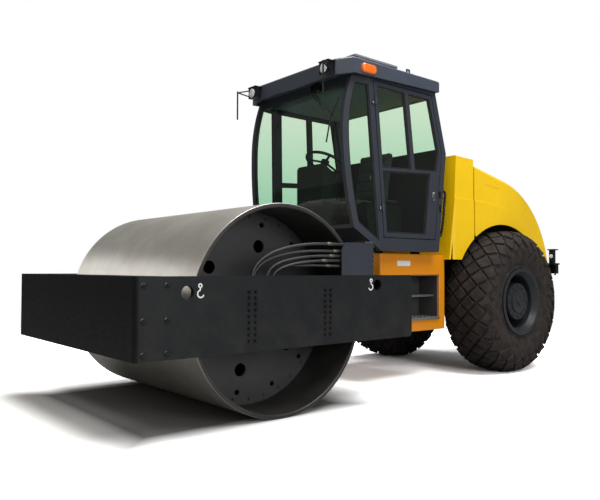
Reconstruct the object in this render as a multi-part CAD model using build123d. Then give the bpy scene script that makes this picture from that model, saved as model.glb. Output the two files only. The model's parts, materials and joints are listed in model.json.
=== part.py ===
from build123d import *
import os
from math import cos, radians, sin, tan

# Single-drum vibratory soil compactor, millimetres.
# +X is the machine's left side, -Y its front, +Z up; the ground is z = 0.

# ---------------------------------------------------------------- driving sizes
WHEELBASE = 3287.0            # drum axle to wheel axle
FRONT_OVERHANG = 1233.0       # front face of the beam to the drum axle
REAR_OVERHANG = 1360.0        # wheel axle to the rear lamps
HITCH_TO_AXLE = 1637.0        # steering pivot to the wheel axle
HITCH_Z = 785.0               # height of the oscillation axis

DRUM_R = 800.0
DRUM_WIDTH = 2130.0
DRUM_SHELL = 32.0
DRUM_RECESS = 450.0           # end disc behind the drum's edge
DRUM_DISC = 25.0
HUB_R = 190.0

PLATE_T = 35.0                # drum frame side plates
PLATE_GAP = 27.0              # drum edge to side plate
PLATE_LOW, PLATE_TOP = 524.0, 1058.0
BEAM_DEPTH = 230.0            # front beam
BEAM_WALL = 25.0
FACE_T = 30.0                 # front beam's face plate
REAR_BEAM_AT = 1060.0         # rear face of the rear cross-beam, behind the drum axle
REAR_BEAM_DEPTH = 190.0
PLATE_END = 275.0             # side plates end this far ahead of the hitch
LIFT_HOLE_R = 46.0

TYRE_R = 765.0
TYRE_WIDTH = 563.0
TYRE_X = 792.0                # middle plane of a tyre
RIM_R = 360.0                 # outer edge of the rim's flange

CAB_HALF = 800.0              # half width at the cab's skirt
CAB_TILT = 2.5                # degrees the cab's sides lean inwards
CAB_LOW = 1280.0              # underside of the cab
CAB_TOP = 2900.0              # top of the cab's frame
FLOOR_Z = 1400.0              # cab floor
GLASS = 6.0

HOOD_HALF = 820.0
SKIN = 12.0

RUN = 0.05                    # radial clearance of a running pin
SEAT = 0.3                    # clearance between parts that rest or slide on each other

# ------------------------------------------------------------------ derived
LENGTH = FRONT_OVERHANG + WHEELBASE + REAR_OVERHANG
Y_FRONT = -LENGTH / 2
Y_DRUM = Y_FRONT + FRONT_OVERHANG
Y_AXLE = Y_DRUM + WHEELBASE
Y_HITCH = Y_AXLE - HITCH_TO_AXLE
Y_REAR = LENGTH / 2
DRUM_HALF = DRUM_WIDTH / 2
DRUM_IN_R = DRUM_R - DRUM_SHELL
DISC_X = DRUM_HALF - DRUM_RECESS
PLATE_IN = DRUM_HALF + PLATE_GAP
PLATE_OUT = PLATE_IN + PLATE_T
REAR_BEAM_Y = Y_DRUM + REAR_BEAM_AT


# ------------------------------------------------------------------ helpers
def block(x0, x1, y0, y1, z0, z1):
    """Box between two corners."""
    size = (abs(x1 - x0), abs(y1 - y0), abs(z1 - z0))
    return Pos((x0 + x1) / 2, (y0 + y1) / 2, (z0 + z1) / 2) * Box(*size)


def rod(p, q, r):
    """Cylinder of radius r from point p to point q."""
    p, q = Vector(*p), Vector(*q)
    plane = Plane(origin=p, z_dir=q - p)
    return plane * Cylinder(r, (q - p).length, align=(Align.CENTER, Align.CENTER, Align.MIN))


def side_face(points):
    """Face in the YZ plane from (y, z) points."""
    return Plane.YZ * make_face(Polyline(*points, close=True))


def side_slab(points, x0, x1):
    """Side profile given as (y, z) points, from x0 to x1."""
    return Pos(x0, 0, 0) * extrude(side_face(points), x1 - x0, dir=(1, 0, 0))


def plan_slab(points, z0, z1):
    """Plan profile given as (x, y) points, from z0 to z1."""
    return Pos(0, 0, z0) * extrude(make_face(Polyline(*points, close=True)), z1 - z0)


def other_side(shape):
    """Mirror image in the machine's centre plane."""
    return mirror(shape, about=Plane.YZ)


def both(shape):
    return [shape, other_side(shape)]


def x_tube(r_out, r_in, x0, x1, y, z):
    """Ring about an X axis."""
    ring = Cylinder(r_out, x1 - x0)
    if r_in:
        ring -= Cylinder(r_in, x1 - x0 + 2)
    return Pos((x0 + x1) / 2, y, z) * Rot(0, 90, 0) * ring


BEND_SHARE = 0.45             # share of the shorter run beside a corner that its arc takes up


def bent_tube(points, r):
    """Round tube along straight runs, each corner an arc as large as its two runs allow."""
    points = [Vector(*p) for p in points]
    edges, start = [], points[0]
    for before, corner, after in zip(points, points[1:], points[2:]):
        into, out = corner - before, after - corner
        cut = BEND_SHARE * min(into.length, out.length)
        enter, leave = corner - into.normalized() * cut, corner + out.normalized() * cut
        edges += [Line(start, enter), TangentArc(enter, leave, tangent=into.normalized())]
        start = leave
    edges.append(Line(start, points[-1]))
    section = Plane(origin=points[0], z_dir=points[1] - points[0]) * Circle(r)
    return sweep(section, path=Wire([e.edge() for e in edges]))


def save(name, *solids):
    """Write one node."""
    shape = solids[0] if len(solids) == 1 else Compound(children=list(solids))
    export_step(shape, f"parts/{name}.step")


# ------------------------------------------------------------------ drum
DRUM_CHAMFER = 6.0
HUB_RING = 45.0               # radial width of the ring round the hub's bore
DISC_HOLES = (                # pitch radius as a share of the drum's, hole radius, count
    (0.62, 52.0, 6),
    (0.84, 22.0, 12),
)
HOLE_START = 20.0             # angle of each ring's first hole


def drum_shell():
    shell = x_tube(DRUM_R, DRUM_IN_R, -DRUM_HALF, DRUM_HALF, Y_DRUM, DRUM_R)
    return chamfer(shell.edges().filter_by(GeomType.CIRCLE), DRUM_CHAMFER)


def drum_disc():
    """Left end disc, recessed in the shell, with its hub ring and two rings of holes."""
    x0, x1 = DISC_X - DRUM_DISC, DISC_X
    disc = x_tube(DRUM_IN_R, HUB_R, x0, x1, Y_DRUM, DRUM_R)
    disc += x_tube(HUB_R + HUB_RING, HUB_R, x0 - 20, x1 + 35, Y_DRUM, DRUM_R)
    for share, r, count in DISC_HOLES:
        for i in range(count):
            a = radians(360 / count * i + HOLE_START)
            y = Y_DRUM + share * DRUM_R * cos(a)
            z = DRUM_R + share * DRUM_R * sin(a)
            disc -= x_tube(r, 0, x0 - 1, x1 + 1, y, z)
    return disc


# ------------------------------------------------------------------ drum frame
LIFT_HOLES = (                # behind the drum axle, below the plate's top
    (-860.0, 108.0),
    (940.0, 80.0),
)
PLATE_CORNER = 40.0
FACE_CORNER = 25.0
BEARING_R = 165.0
BEARING_END = 215.0           # bearing housing ends this far ahead of the hitch
BEARING_FLANGE = 30.0
SHAFT_R = 80.0
SHAFT_FLOOR = 24.0            # wall between the shaft's end and the beam's inside
RIB_T = 30.0
RIB_IN, RIB_OUT = 120.0, 255.0
MANIFOLD_X = (800.0, 860.0)   # hose manifold on the rear beam: x, then behind the drum axle
MANIFOLD_Y = (990.0, 1045.0)
MANIFOLD_TOP = 1325.0


def side_plate():
    """Left plate, rounded at its rear corners, with two lifting holes."""
    plate = block(PLATE_IN, PLATE_OUT, Y_FRONT + FACE_T, Y_HITCH - PLATE_END, PLATE_LOW, PLATE_TOP)
    plate = fillet(plate.edges().filter_by(Axis.X).sort_by(Axis.Y)[-2:], PLATE_CORNER)
    for behind, drop in LIFT_HOLES:
        plate -= x_tube(LIFT_HOLE_R, 0, PLATE_IN - 1, PLATE_OUT + 1, Y_DRUM + behind, PLATE_TOP - drop)
    return plate


def box_beam(y0, y1):
    """Box section across the machine, between the side plates."""
    w = BEAM_WALL
    outer = block(-PLATE_IN, PLATE_IN, y0, y1, PLATE_LOW, PLATE_TOP)
    return outer - block(-PLATE_IN, PLATE_IN, y0 + w, y1 - w, PLATE_LOW + w, PLATE_TOP - w)


def front_beam():
    """Full-width face plate with rounded corners on a box section between the side plates."""
    face = block(-PLATE_OUT, PLATE_OUT, Y_FRONT, Y_FRONT + FACE_T, PLATE_LOW, PLATE_TOP)
    face = fillet(face.edges().filter_by(Axis.Z).sort_by(Axis.Y)[:2], FACE_CORNER)
    return face + box_beam(Y_FRONT + FACE_T, Y_FRONT + BEAM_DEPTH)


def rear_cross_beam():
    """Rear beam with the bearing housing of the oscillating joint and the hose manifold."""
    end = Y_HITCH - BEARING_END
    beam = box_beam(REAR_BEAM_Y - REAR_BEAM_DEPTH, REAR_BEAM_Y)
    beam += rod((0, REAR_BEAM_Y - 5, HITCH_Z), (0, end, HITCH_Z), BEARING_R)
    beam += rod((0, end - 40, HITCH_Z), (0, end, HITCH_Z), BEARING_R + BEARING_FLANGE)
    for sx in (-1, 1):
        corners = [(sx * RIB_IN, REAR_BEAM_Y - 5), (sx * RIB_OUT, REAR_BEAM_Y - 5), (sx * RIB_IN, end - 60)]
        beam += plan_slab(corners, HITCH_Z - RIB_T / 2, HITCH_Z + RIB_T / 2)
    beam -= rod((0, REAR_BEAM_Y - SHAFT_FLOOR, HITCH_Z), (0, end + 1, HITCH_Z), SHAFT_R + RUN)
    y0, y1 = (Y_DRUM + y for y in MANIFOLD_Y)
    return beam + block(*MANIFOLD_X, y0, y1, PLATE_TOP - 1, MANIFOLD_TOP)


SCRAPER_UP = 90.0             # blade edge above the plates' lower edge
SCRAPER_GAP = 9.0             # blade edge to the drum
SCRAPER_DEPTH = 60.0
SCRAPER_ARMS = (-700, 0, 700)
ARM_HALF = 40.0


def scraper(sign):
    """Blade across the drum on three brackets from the beam; sign -1 is the front one."""
    z = PLATE_LOW + SCRAPER_UP
    edge = Y_DRUM + sign * ((DRUM_R ** 2 - (DRUM_R - z) ** 2) ** 0.5 + SCRAPER_GAP)
    back = edge + sign * SCRAPER_DEPTH
    beam_y = Y_FRONT + BEAM_DEPTH if sign < 0 else REAR_BEAM_Y - REAR_BEAM_DEPTH
    blade = side_slab([(edge, z), (back, z - 22), (back, z + 14)], -DRUM_HALF + 20, DRUM_HALF - 20)
    y0, y1 = sorted((back - sign * 15, beam_y))
    for x in SCRAPER_ARMS:
        blade += block(x - ARM_HALF, x + ARM_HALF, y0, y1, z - 14, z + 8)
    return blade


BUFFER_R = 62.0
BUFFER_L = 62.0
BUFFERS = [(y, z) for y in (-300, 300) for z in (-95, 95)]     # (y, z) about the drum axle
SUPPORT_T = 24.0
SUPPORT_OUTLINE = (           # cradle plate, (y, z) about the drum axle
    (-385, -110), (-300, -190), (300, -190), (385, -110),
    (385, 110), (300, 190), (-300, 190), (-385, 110),
)
MOTOR_R = 105.0
PORTS_Z = 940.0               # top of the motor's port block
PORT_H = 35.0                 # hose fitting above a port
PORT_BLOCK = (900.0, -285.0, 10.0)      # inner side x, then its ends behind the drum axle


def drum_support():
    """Left cradle plate inside the drum's end, with the motor and bearing housing to the hub."""
    x1 = PLATE_IN - BUFFER_L
    x0 = x1 - SUPPORT_T
    plate = side_slab([(Y_DRUM + y, DRUM_R + z) for y, z in SUPPORT_OUTLINE], x0, x1)
    cylinders = (             # radius, inner x, outer x
        (150.0, DISC_X + 36, x0 + 1),
        (172.0, x0 - 150, x0 + 1),
        (HUB_R - RUN, DISC_X - 44, DISC_X + 37),
        (MOTOR_R, x1 - 1, x1 + 45),
    )
    for r, inner, outer in cylinders:
        plate += x_tube(r, 0, inner, outer, Y_DRUM, DRUM_R)
    return plate


def drum_supports():
    """Both cradles; the left one has the port block of the drum motor's hoses."""
    left = drum_support()
    inner, front, rear = PORT_BLOCK
    x0 = PLATE_IN - BUFFER_L - SUPPORT_T
    ports = block(inner, x0 + 1, Y_DRUM + front, Y_DRUM + rear, PORTS_Z - 80, PORTS_Z)
    for route in HOSES:
        x, y, z = route[0]
        ports += rod((x, Y_DRUM + y, PORTS_Z - 1), (x, Y_DRUM + y, z), HOSE_R + 5)
    return [left + ports, other_side(left)]


def buffers():
    """Rubber-to-metal buffers that carry the drum in its frame."""
    out = []
    for y, z in BUFFERS:
        out += both(x_tube(BUFFER_R, 0, PLATE_IN - BUFFER_L, PLATE_IN, Y_DRUM + y, DRUM_R + z))
    return out


GUARD_OUT = PLATE_OUT - 2     # outer face of the hose guard
GUARD_W = 196.0
GUARD_TOP = 1335.0
GUARD_T = 8.0
GUARD_Y = (800.0, 890.0)      # cover, behind the drum axle
WING_FRONT = 530.0            # front end of its wing, behind the drum axle


def hose_guard():
    """Sheet cover over the drum hoses, on the left side plate, with a wing that runs forwards."""
    y0, y1 = (Y_DRUM + y for y in GUARD_Y)
    x0 = GUARD_OUT - GUARD_W
    cover = block(x0, GUARD_OUT, y0, y1, PLATE_TOP, GUARD_TOP)
    cover = chamfer(cover.edges().filter_by(Axis.Y).sort_by(Axis.Z)[-2:], 12)
    cover -= block(x0 + GUARD_T, GUARD_OUT - GUARD_T, y0 - 1, y1 + 1, PLATE_TOP + 14, GUARD_TOP - GUARD_T)
    low, high, front = PLATE_TOP, GUARD_TOP - 14, Y_DRUM + WING_FRONT
    outline = [(front, low), (y0 + 5, low), (y0 + 5, high), (front + 40, high), (front, high - 60)]
    return cover + side_slab(outline, GUARD_OUT - GUARD_T, GUARD_OUT)


HOSE_R = 12.0
HOSES = (                     # each point: x, behind the drum axle, z; from motor port to manifold
    ((985, -250, 975), (985, -250, 1060), (990, -205, 1150), (1010, -100, 1225), (1038, 50, 1275),
     (1068, 220, 1300), (1090, 400, 1306), (1094, 570, 1303), (1093, 740, 1300), (1090, 880, 1302),
     (1054, 975, 1300), (964, 1024, 1300), (879, 1024, 1300)),
    ((940, -205, 975), (940, -205, 1045), (948, -165, 1125), (968, -70, 1185), (1000, 70, 1225),
     (1040, 220, 1246), (1078, 385, 1250), (1094, 560, 1248), (1093, 740, 1246), (1090, 880, 1248),
     (1054, 975, 1246), (964, 1024, 1246), (879, 1024, 1246)),
    ((985, -120, 975), (985, -120, 1040), (990, -80, 1115), (1008, 0, 1160), (1030, 130, 1190),
     (1060, 280, 1208), (1088, 430, 1211), (1094, 580, 1209), (1093, 740, 1208), (1090, 880, 1210),
     (1054, 975, 1208), (964, 1024, 1208), (879, 1024, 1208)),
    ((985, -60, 975), (985, -60, 1041), (992, -25, 1096), (1014, 50, 1130), (1040, 160, 1156),
     (1068, 300, 1170), (1090, 440, 1174), (1094, 590, 1173), (1093, 740, 1172), (1090, 880, 1174),
     (1054, 975, 1172), (964, 1024, 1172), (879, 1024, 1172)),
    ((925, -20, 975), (925, -20, 1036), (933, 9, 1088), (951, 76, 1128), (985, 200, 1131),
     (1025, 320, 1136), (1067, 440, 1134), (1094, 575, 1129), (1093, 740, 1128), (1090, 880, 1130),
     (1054, 975, 1128), (964, 1024, 1128), (879, 1024, 1128)),
)


def drum_hose(route):
    """Hydraulic hose between its fittings on the motor's port block and the manifold."""
    return bent_tube([(x, Y_DRUM + y, z) for x, y, z in route], HOSE_R)


def hose_fittings():
    """Fittings on the manifold's side, one for each hose."""
    ends = [route[-1] for route in HOSES]
    return [rod((MANIFOLD_X[1], Y_DRUM + y, z), (x, Y_DRUM + y, z), HOSE_R + 5) for x, y, z in ends]


# ------------------------------------------------------------------ hitch
YOKE_T = 45.0
YOKE_UP, YOKE_LOW = 985.0, 545.0      # undersides of the two yoke plates
YOKE_TOP = YOKE_UP + YOKE_T
LUG_T = 60.0
PIN_R = 45.0
PIN_CAP_R, PIN_CAP_T = 72.0, 14.0
LUG_R = 105.0
WEB_FRONT, WEB_REAR = 195.0, 60.0     # web of the hitch block, ahead of the steering axis
WEB_HALF = 95.0
SHAFT_L = 300.0
ARM_X, ARM_Y = 230.0, -160.0          # rod pin on the hitch, from the steering axis
BASE_X, BASE_Y = 250.0, 500.0         # barrel pin on the rear frame
CYL_Z = 785.0
EYE_R = 42.0
EYE_T = 50.0
CLEVIS_T = 22.0
ARM_GAP = 8.0                         # rod eye to each arm
ROD_PIN_R = 26.0
ARM_OUTLINE = ((0, -55), (60, -20), (60, 40), (0, 62))      # round the rod pin


def steering_arm(sx, z):
    """One plate of the hitch's steering arm, from the web to the rod pin."""
    x, y = sx * ARM_X, Y_HITCH + ARM_Y
    root = [(sx * 60, Y_HITCH - WEB_FRONT + 10), (sx * 60, Y_HITCH - WEB_REAR - 10)]
    rim_points = [(x + sx * dx, y + dy) for dx, dy in ARM_OUTLINE]
    return plan_slab([root[0], *rim_points, root[1]], z, z + CLEVIS_T)


def hitch_block():
    """Centre casting: two vertical-pin lugs, the oscillation shaft and the steering arms."""
    low, high = YOKE_LOW + YOKE_T, YOKE_UP
    body = rod((0, Y_HITCH, low + SEAT), (0, Y_HITCH, low + LUG_T), LUG_R)
    body += rod((0, Y_HITCH, high - LUG_T), (0, Y_HITCH, high - SEAT), LUG_R)
    front = Y_HITCH - WEB_FRONT
    body += block(-WEB_HALF, WEB_HALF, front, Y_HITCH - WEB_REAR, low + 20, high - 20)
    body += rod((0, front - 20, HITCH_Z), (0, front + 5, HITCH_Z), SHAFT_R + 30)
    body += rod((0, front - SHAFT_L, HITCH_Z), (0, front + 5, HITCH_Z), SHAFT_R)
    under = CYL_Z - EYE_T / 2 - ARM_GAP - CLEVIS_T
    over = CYL_Z + EYE_T / 2 + ARM_GAP
    for sx in (-1, 1):
        x, y = sx * ARM_X, Y_HITCH + ARM_Y
        body += steering_arm(sx, under) + steering_arm(sx, over)
        body += rod((x, y, under - 14), (x, y, under + 1), ROD_PIN_R)
        body += rod((x, y, over + CLEVIS_T - 1), (x, y, over + CLEVIS_T + 14), ROD_PIN_R)
    for z0, z1 in ((YOKE_LOW, low + LUG_T + 5), (high - LUG_T - 5, high + 5)):
        body -= rod((0, Y_HITCH, z0), (0, Y_HITCH, z1), PIN_R + RUN)
    return body


def hitch_pins():
    """Upper and lower steering pins with their cap plates, fixed in the rear frame's yoke."""
    out = []
    low, high = YOKE_LOW - PIN_CAP_T, YOKE_TOP + PIN_CAP_T
    for cap, end in ((low, YOKE_LOW + YOKE_T + LUG_T - 2), (high, YOKE_UP - LUG_T + 2)):
        z0, z1 = sorted((cap, end))
        c0, c1 = sorted((cap, YOKE_LOW if cap == low else YOKE_TOP))
        pin = rod((0, Y_HITCH, z0), (0, Y_HITCH, z1), PIN_R)
        out.append(pin + rod((0, Y_HITCH, c0), (0, Y_HITCH, c1), PIN_CAP_R))
    return out


def cylinder_axis():
    """Left steering cylinder: its barrel pin, direction and pin distance, wheels straight."""
    base = Vector(BASE_X, Y_HITCH + BASE_Y, CYL_Z)
    eye = Vector(ARM_X, Y_HITCH + ARM_Y, CYL_Z)
    return base, (eye - base).normalized(), (eye - base).length


BARREL_START = 55.0            # barrel's closed end from its pin
BARREL_L = 350.0
BORE_START = 66.0
ROD_START = 212.0              # inner end of the rod from the barrel's pin, wheels straight
BARREL_R = 48.0
ROD_R = 25.0
ROD_EYE_HOLE = 20.0


def steering_barrel():
    base, d, _ = cylinder_axis()
    mouth = BARREL_START + BARREL_L
    tube = rod(base + d * BARREL_START, base + d * mouth, BARREL_R)
    tube += rod(base, base + d * (BARREL_START + 5), EYE_T / 2 - 1)
    tube += Pos(*base) * Cylinder(EYE_R + 8, EYE_T)
    tube += rod(base + d * (mouth - 25), base + d * mouth, BARREL_R + 6)
    tube -= Pos(*base) * Cylinder(ROD_R + RUN, EYE_T + 4)
    return tube - rod(base + d * BORE_START, base + d * (mouth + 5), ROD_R + RUN)


def steering_rod():
    base, d, length = cylinder_axis()
    eye = base + d * length
    shaft = rod(base + d * ROD_START, base + d * (length - 20), ROD_R)
    shaft += Pos(*eye) * Cylinder(EYE_R, EYE_T)
    return shaft - Pos(*eye) * Cylinder(ROD_EYE_HOLE, EYE_T + 4)


# ------------------------------------------------------------------ rear frame
RAIL_X = 330.0
RAIL_T = 30.0
RAIL_OUT = RAIL_X + RAIL_T
BOX_IN = RAIL_OUT + SEAT
RAIL_LOW, RAIL_TOP = 600.0, 1010.0
FRAME_FRONT = 640.0           # front cross wall behind the hitch
WALL_T = 30.0
CHEEK = 120.0                 # rails run this far ahead of the wall
TAIL = 250.0                  # frame end ahead of the rearmost point
AXLE_NOTCH = 112.0
AXLE_TOP = TYRE_R + 125       # underside of the axle's saddle
CROSS_MEMBERS = (1300, 2300)  # behind the hitch


def yoke_plate(z):
    """One of the two plates that hold the steering pins."""
    wall = Y_HITCH + FRAME_FRONT
    ends = [(RAIL_OUT, wall - CHEEK), (RAIL_OUT, wall + WALL_T)]
    mirrored = [(-x, y) for x, y in reversed(ends)]
    plate = plan_slab([(90, Y_HITCH), *ends, *mirrored, (-90, Y_HITCH)], z, z + YOKE_T)
    plate += rod((0, Y_HITCH, z), (0, Y_HITCH, z + YOKE_T), LUG_R + 5)
    return plate - rod((0, Y_HITCH, z - 1), (0, Y_HITCH, z + YOKE_T + 1), PIN_R)


def cylinder_mount():
    """Left barrel's two ears on the front wall, with its pin."""
    wall = Y_HITCH + FRAME_FRONT
    y = Y_HITCH + BASE_Y
    reach = EYE_T / 2 + SEAT + CLEVIS_T
    mount = rod((BASE_X, y, CYL_Z - reach - 10), (BASE_X, y, CYL_Z + reach + 10), ROD_R)
    for z in (CYL_Z - reach, CYL_Z + reach - CLEVIS_T):
        mount += block(BASE_X - 50, BASE_X + 50, y, wall + 1, z, z + CLEVIS_T)
        mount += rod((BASE_X, y, z), (BASE_X, y, z + CLEVIS_T), 50)
    return mount


def chassis():
    """Two deep side rails, cross members and the yoke that holds the steering pins."""
    wall = Y_HITCH + FRAME_FRONT
    frame = block(-RAIL_X, RAIL_X, wall, wall + WALL_T, YOKE_LOW, YOKE_TOP)
    rail = block(RAIL_X, RAIL_OUT, wall - CHEEK, Y_REAR - TAIL, RAIL_LOW, YOKE_TOP)
    rail -= block(RAIL_X - 1, RAIL_OUT + 1, Y_AXLE - AXLE_NOTCH, Y_AXLE + AXLE_NOTCH, RAIL_LOW - 1, AXLE_TOP)
    rail += block(RAIL_X, RAIL_OUT, wall - CHEEK, wall + WALL_T, YOKE_LOW, RAIL_LOW + 5)
    frame += rail + other_side(rail)
    for behind in CROSS_MEMBERS:
        y = Y_HITCH + behind
        frame += block(-RAIL_X, RAIL_X, y, y + 60, RAIL_LOW + 260, RAIL_TOP)
    frame += yoke_plate(YOKE_LOW) + yoke_plate(YOKE_UP)
    mount = cylinder_mount()
    frame += mount + other_side(mount)
    return frame + block(-RAIL_X, RAIL_X, Y_AXLE - 110, Y_AXLE + 110, AXLE_TOP, AXLE_TOP + 40)


AXLE_R = 88.0
BOWL_R = 205.0
PINION_R = 80.0
SPINDLE_R = 60.0
HUB_FACE = 640.0              # wheel disc's inner face


def rear_axle():
    """Drive axle: housing, differential bowl and the spindles that carry the wheels."""
    axle = x_tube(AXLE_R, 0, -470, 470, Y_AXLE, TYRE_R)
    bowl = Pos(0, Y_AXLE, TYRE_R) * Sphere(BOWL_R)
    axle += bowl & block(-190, 190, Y_AXLE - 260, Y_AXLE + 260, TYRE_R - 200, AXLE_TOP - 1)
    axle += rod((0, Y_AXLE - 330, TYRE_R), (0, Y_AXLE - 100, TYRE_R), PINION_R)
    end = x_tube(150, 0, 460, 540, Y_AXLE, TYRE_R)
    end += x_tube(SPINDLE_R, 0, 530, HUB_FACE + 60, Y_AXLE, TYRE_R)
    end += block(240, 300, Y_AXLE - 100, Y_AXLE + 100, TYRE_R + 60, AXLE_TOP)
    return axle + end + other_side(end)


BOX_OUT = 700.0
BOX_FRONT, BOX_REAR = -210.0, 760.0   # behind the hitch
BOX_LOW, BOX_TOP = 500.0, 1256.0
WELL = (200.0, 650.0, 607.0, 1045.0)  # step well: behind the hitch, then z
WELL_DEPTH = 255.0
TREAD_T = 22.0
HOOD_LOW = 1210.0
COWL_FOOT, COWL_HEAD, COWL_END = 730.0, 800.0, 1100.0     # behind the hitch


def side_box():
    """Left tank and step box beside the frame, with a step well open to the side."""
    box = block(BOX_IN, BOX_OUT, Y_HITCH + BOX_FRONT, Y_HITCH + BOX_REAR, BOX_LOW, BOX_TOP)
    box = fillet(box.edges().filter_by(Axis.Z).sort_by(Axis.X)[-2:], 18)
    y0, y1, z0, z1 = WELL
    box -= block(BOX_OUT - WELL_DEPTH, BOX_OUT + 1, Y_HITCH + y0, Y_HITCH + y1, z0, z1)
    foot = Y_HITCH + COWL_FOOT - 6
    return box - block(BOX_IN - 1, BOX_OUT + 1, foot, Y_HITCH + BOX_REAR + 1, HOOD_LOW - SEAT, BOX_TOP + 1)


def step_treads():
    """Two tread plates in the left step well."""
    y0, y1, z0, _ = WELL
    low = block(BOX_OUT - 250, BOX_OUT + 20, Y_HITCH + y0 + 2, Y_HITCH + y1 - 2, z0, z0 + TREAD_T)
    high = block(BOX_OUT - 254, BOX_OUT - 60, Y_HITCH + y0, Y_HITCH + y1, z0 + 225, z0 + 243)
    return [low, high]


def hose_bulkhead():
    """Panel between the side boxes, under the front of the cab."""
    x = BOX_IN - SEAT
    y = Y_HITCH + BOX_FRONT
    return block(-x, x, y, y + 30, YOKE_TOP + 90, BOX_TOP)


COWL_TOP = 2285.0
COWL_DROP = 10.0              # the cowl's top falls this much to its rear edge
COWL_EDGE = 28.0
COWL_BEVEL = 45.0             # front corners below the crease
CREASE = 8.0                  # the upper side panels lie this far inside the lower ones
CREASE_LINE = (               # behind the wheel axle, z
    (-1000, 1845), (-900, 1842), (-360, 1832), (-110, 1806), (78, 1776), (271, 1711),
    (472, 1545), (587, 1431), (650, 1370),
)
SKIN_HALF = HOOD_HALF - CREASE - SKIN         # inside of the hood and cowl
ARCH_Z = 660.0
ARCH_R = 945.0
ARCH_DY = 13.0
HINGE_R = 12.0
HINGE_PIN_R = 6.0
HINGE_HALF = 50.0             # length of one hinge half
HOOD_START = -519.0           # from the wheel axle
HOOD_CREST = 2227.0           # height of the hood's front edge
HOOD_RIDGE = 80.0             # rounding along the hood's upper edges
HOOD_PIVOT_Y, HOOD_PIVOT_Z = -510.0, 2250.0   # behind the wheel axle, height
HOOD_HINGE_X = 520.0
PANEL_RECESS = (              # shallow panel in the hood's upper side: behind the wheel axle, z
    (-330, 2030), (-40, 2000), (-40, 1880), (-330, 1910),
)
PANEL_DEPTH = 3.0
HOOD_CORNER = 32.0            # cut off the hood's lower front corner, which swings past the tyre
GRILLE_HALF = 430.0
GRILLE_SLOTS = [1330.0 + 60.0 * i for i in range(7)]
SLOT_H = 30.0


def above_crease():
    """Material outside the upper side panels, left and right."""
    points = [(Y_AXLE + y, z) for y, z in CREASE_LINE]
    points += [(Y_AXLE + 650, 1150), (Y_REAR, 1150), (Y_REAR, 2400), (Y_AXLE - 1000, 2400)]
    left = side_slab(points, HOOD_HALF - CREASE, HOOD_HALF + 1)
    return left + other_side(left)


def arches():
    """Cylinder that cuts the wheel arches."""
    return x_tube(ARCH_R, 0, -HOOD_HALF - 1, HOOD_HALF + 1, Y_AXLE + ARCH_DY, ARCH_Z)


def hood_body(inset, low, half, ridge_r):
    """Solid under the hood's curve: straight top, then one long arc down the tail."""
    drop = 0.8 * inset
    start = (Y_AXLE + HOOD_START, HOOD_CREST - inset)
    knee = (Y_AXLE + 62, 2112 - inset)
    mid = (Y_AXLE + 700 - drop, 1778 - drop)
    tail = (Y_AXLE + 1003 - inset, 1250)
    under = Polyline(tail, (tail[0], low), (start[0], low), start)
    outline = make_face([Line(start, knee), ThreePointArc(knee, mid, tail), under])
    body = extrude(Plane.YZ * outline, half, both=True)
    sides = body.edges().filter_by(lambda e: abs(abs(e.center().X) - half) < 1)
    ridge = sides.filter_by(lambda e: e.center().Z > 1400 and e.center().Y > start[0] + 20)
    return fillet(ridge, ridge_r)


def hood_hinge():
    """Left hinge half of the hood, bored for its pin."""
    y, x0, x1 = Y_AXLE + HOOD_PIVOT_Y, HOOD_HINGE_X + SEAT, HOOD_HINGE_X + HINGE_HALF
    half = x_tube(HINGE_R, 0, x0, x1, y, HOOD_PIVOT_Z)
    half += block(x0, x1, y, y + 40, HOOD_PIVOT_Z - 38, HOOD_PIVOT_Z)
    return half - x_tube(HINGE_PIN_R + RUN, 0, x0 - 1, x1 + 1, y, HOOD_PIVOT_Z)


def engine_hood():
    """Tilting hood: a curved skin with creased sides, wheel arches and a slotted tail."""
    shell = hood_body(0, HOOD_LOW, HOOD_HALF, HOOD_RIDGE)
    shell -= hood_body(SKIN, HOOD_LOW - 10, SKIN_HALF, HOOD_RIDGE - SKIN)
    shell -= arches()
    shell -= above_crease()
    start = Y_AXLE + HOOD_START
    foot = ARCH_Z + (ARCH_R ** 2 - (HOOD_START - ARCH_DY) ** 2) ** 0.5
    corner = [(start - 1, foot - 60), (start - 1, foot + HOOD_CORNER),
              (start + HOOD_CORNER, foot + 10), (start + HOOD_CORNER, foot - 60)]
    shell -= side_slab(corner, -HOOD_HALF - 1, HOOD_HALF + 1)
    panel = [(Y_AXLE + y, z) for y, z in PANEL_RECESS]
    for recess in both(side_slab(panel, HOOD_HALF - CREASE - PANEL_DEPTH, HOOD_HALF)):
        shell -= recess
    for z in GRILLE_SLOTS:
        shell -= block(-GRILLE_HALF, GRILLE_HALF, Y_AXLE + 600, Y_REAR, z, z + SLOT_H)
    hinge = hood_hinge()
    return shell + hinge + other_side(hinge)


def cowl_hinge():
    """Left hinge half and pin that hang from the cowl's rear edge."""
    y, edge = Y_AXLE + HOOD_PIVOT_Y, Y_HITCH + COWL_END
    x0, x1 = HOOD_HINGE_X - HINGE_HALF, HOOD_HINGE_X - SEAT
    half = x_tube(HINGE_R, 0, x0, x1, y, HOOD_PIVOT_Z)
    half += block(x0, x1, edge - 30, y, HOOD_PIVOT_Z - 8, HOOD_PIVOT_Z + 8)
    half += block(x0, x1, edge - 30, edge - 5, HOOD_PIVOT_Z - 8, COWL_TOP - 18)
    return half + x_tube(HINGE_PIN_R, 0, x1 - 10, x1 + HINGE_HALF - 4, y, HOOD_PIVOT_Z)


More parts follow.
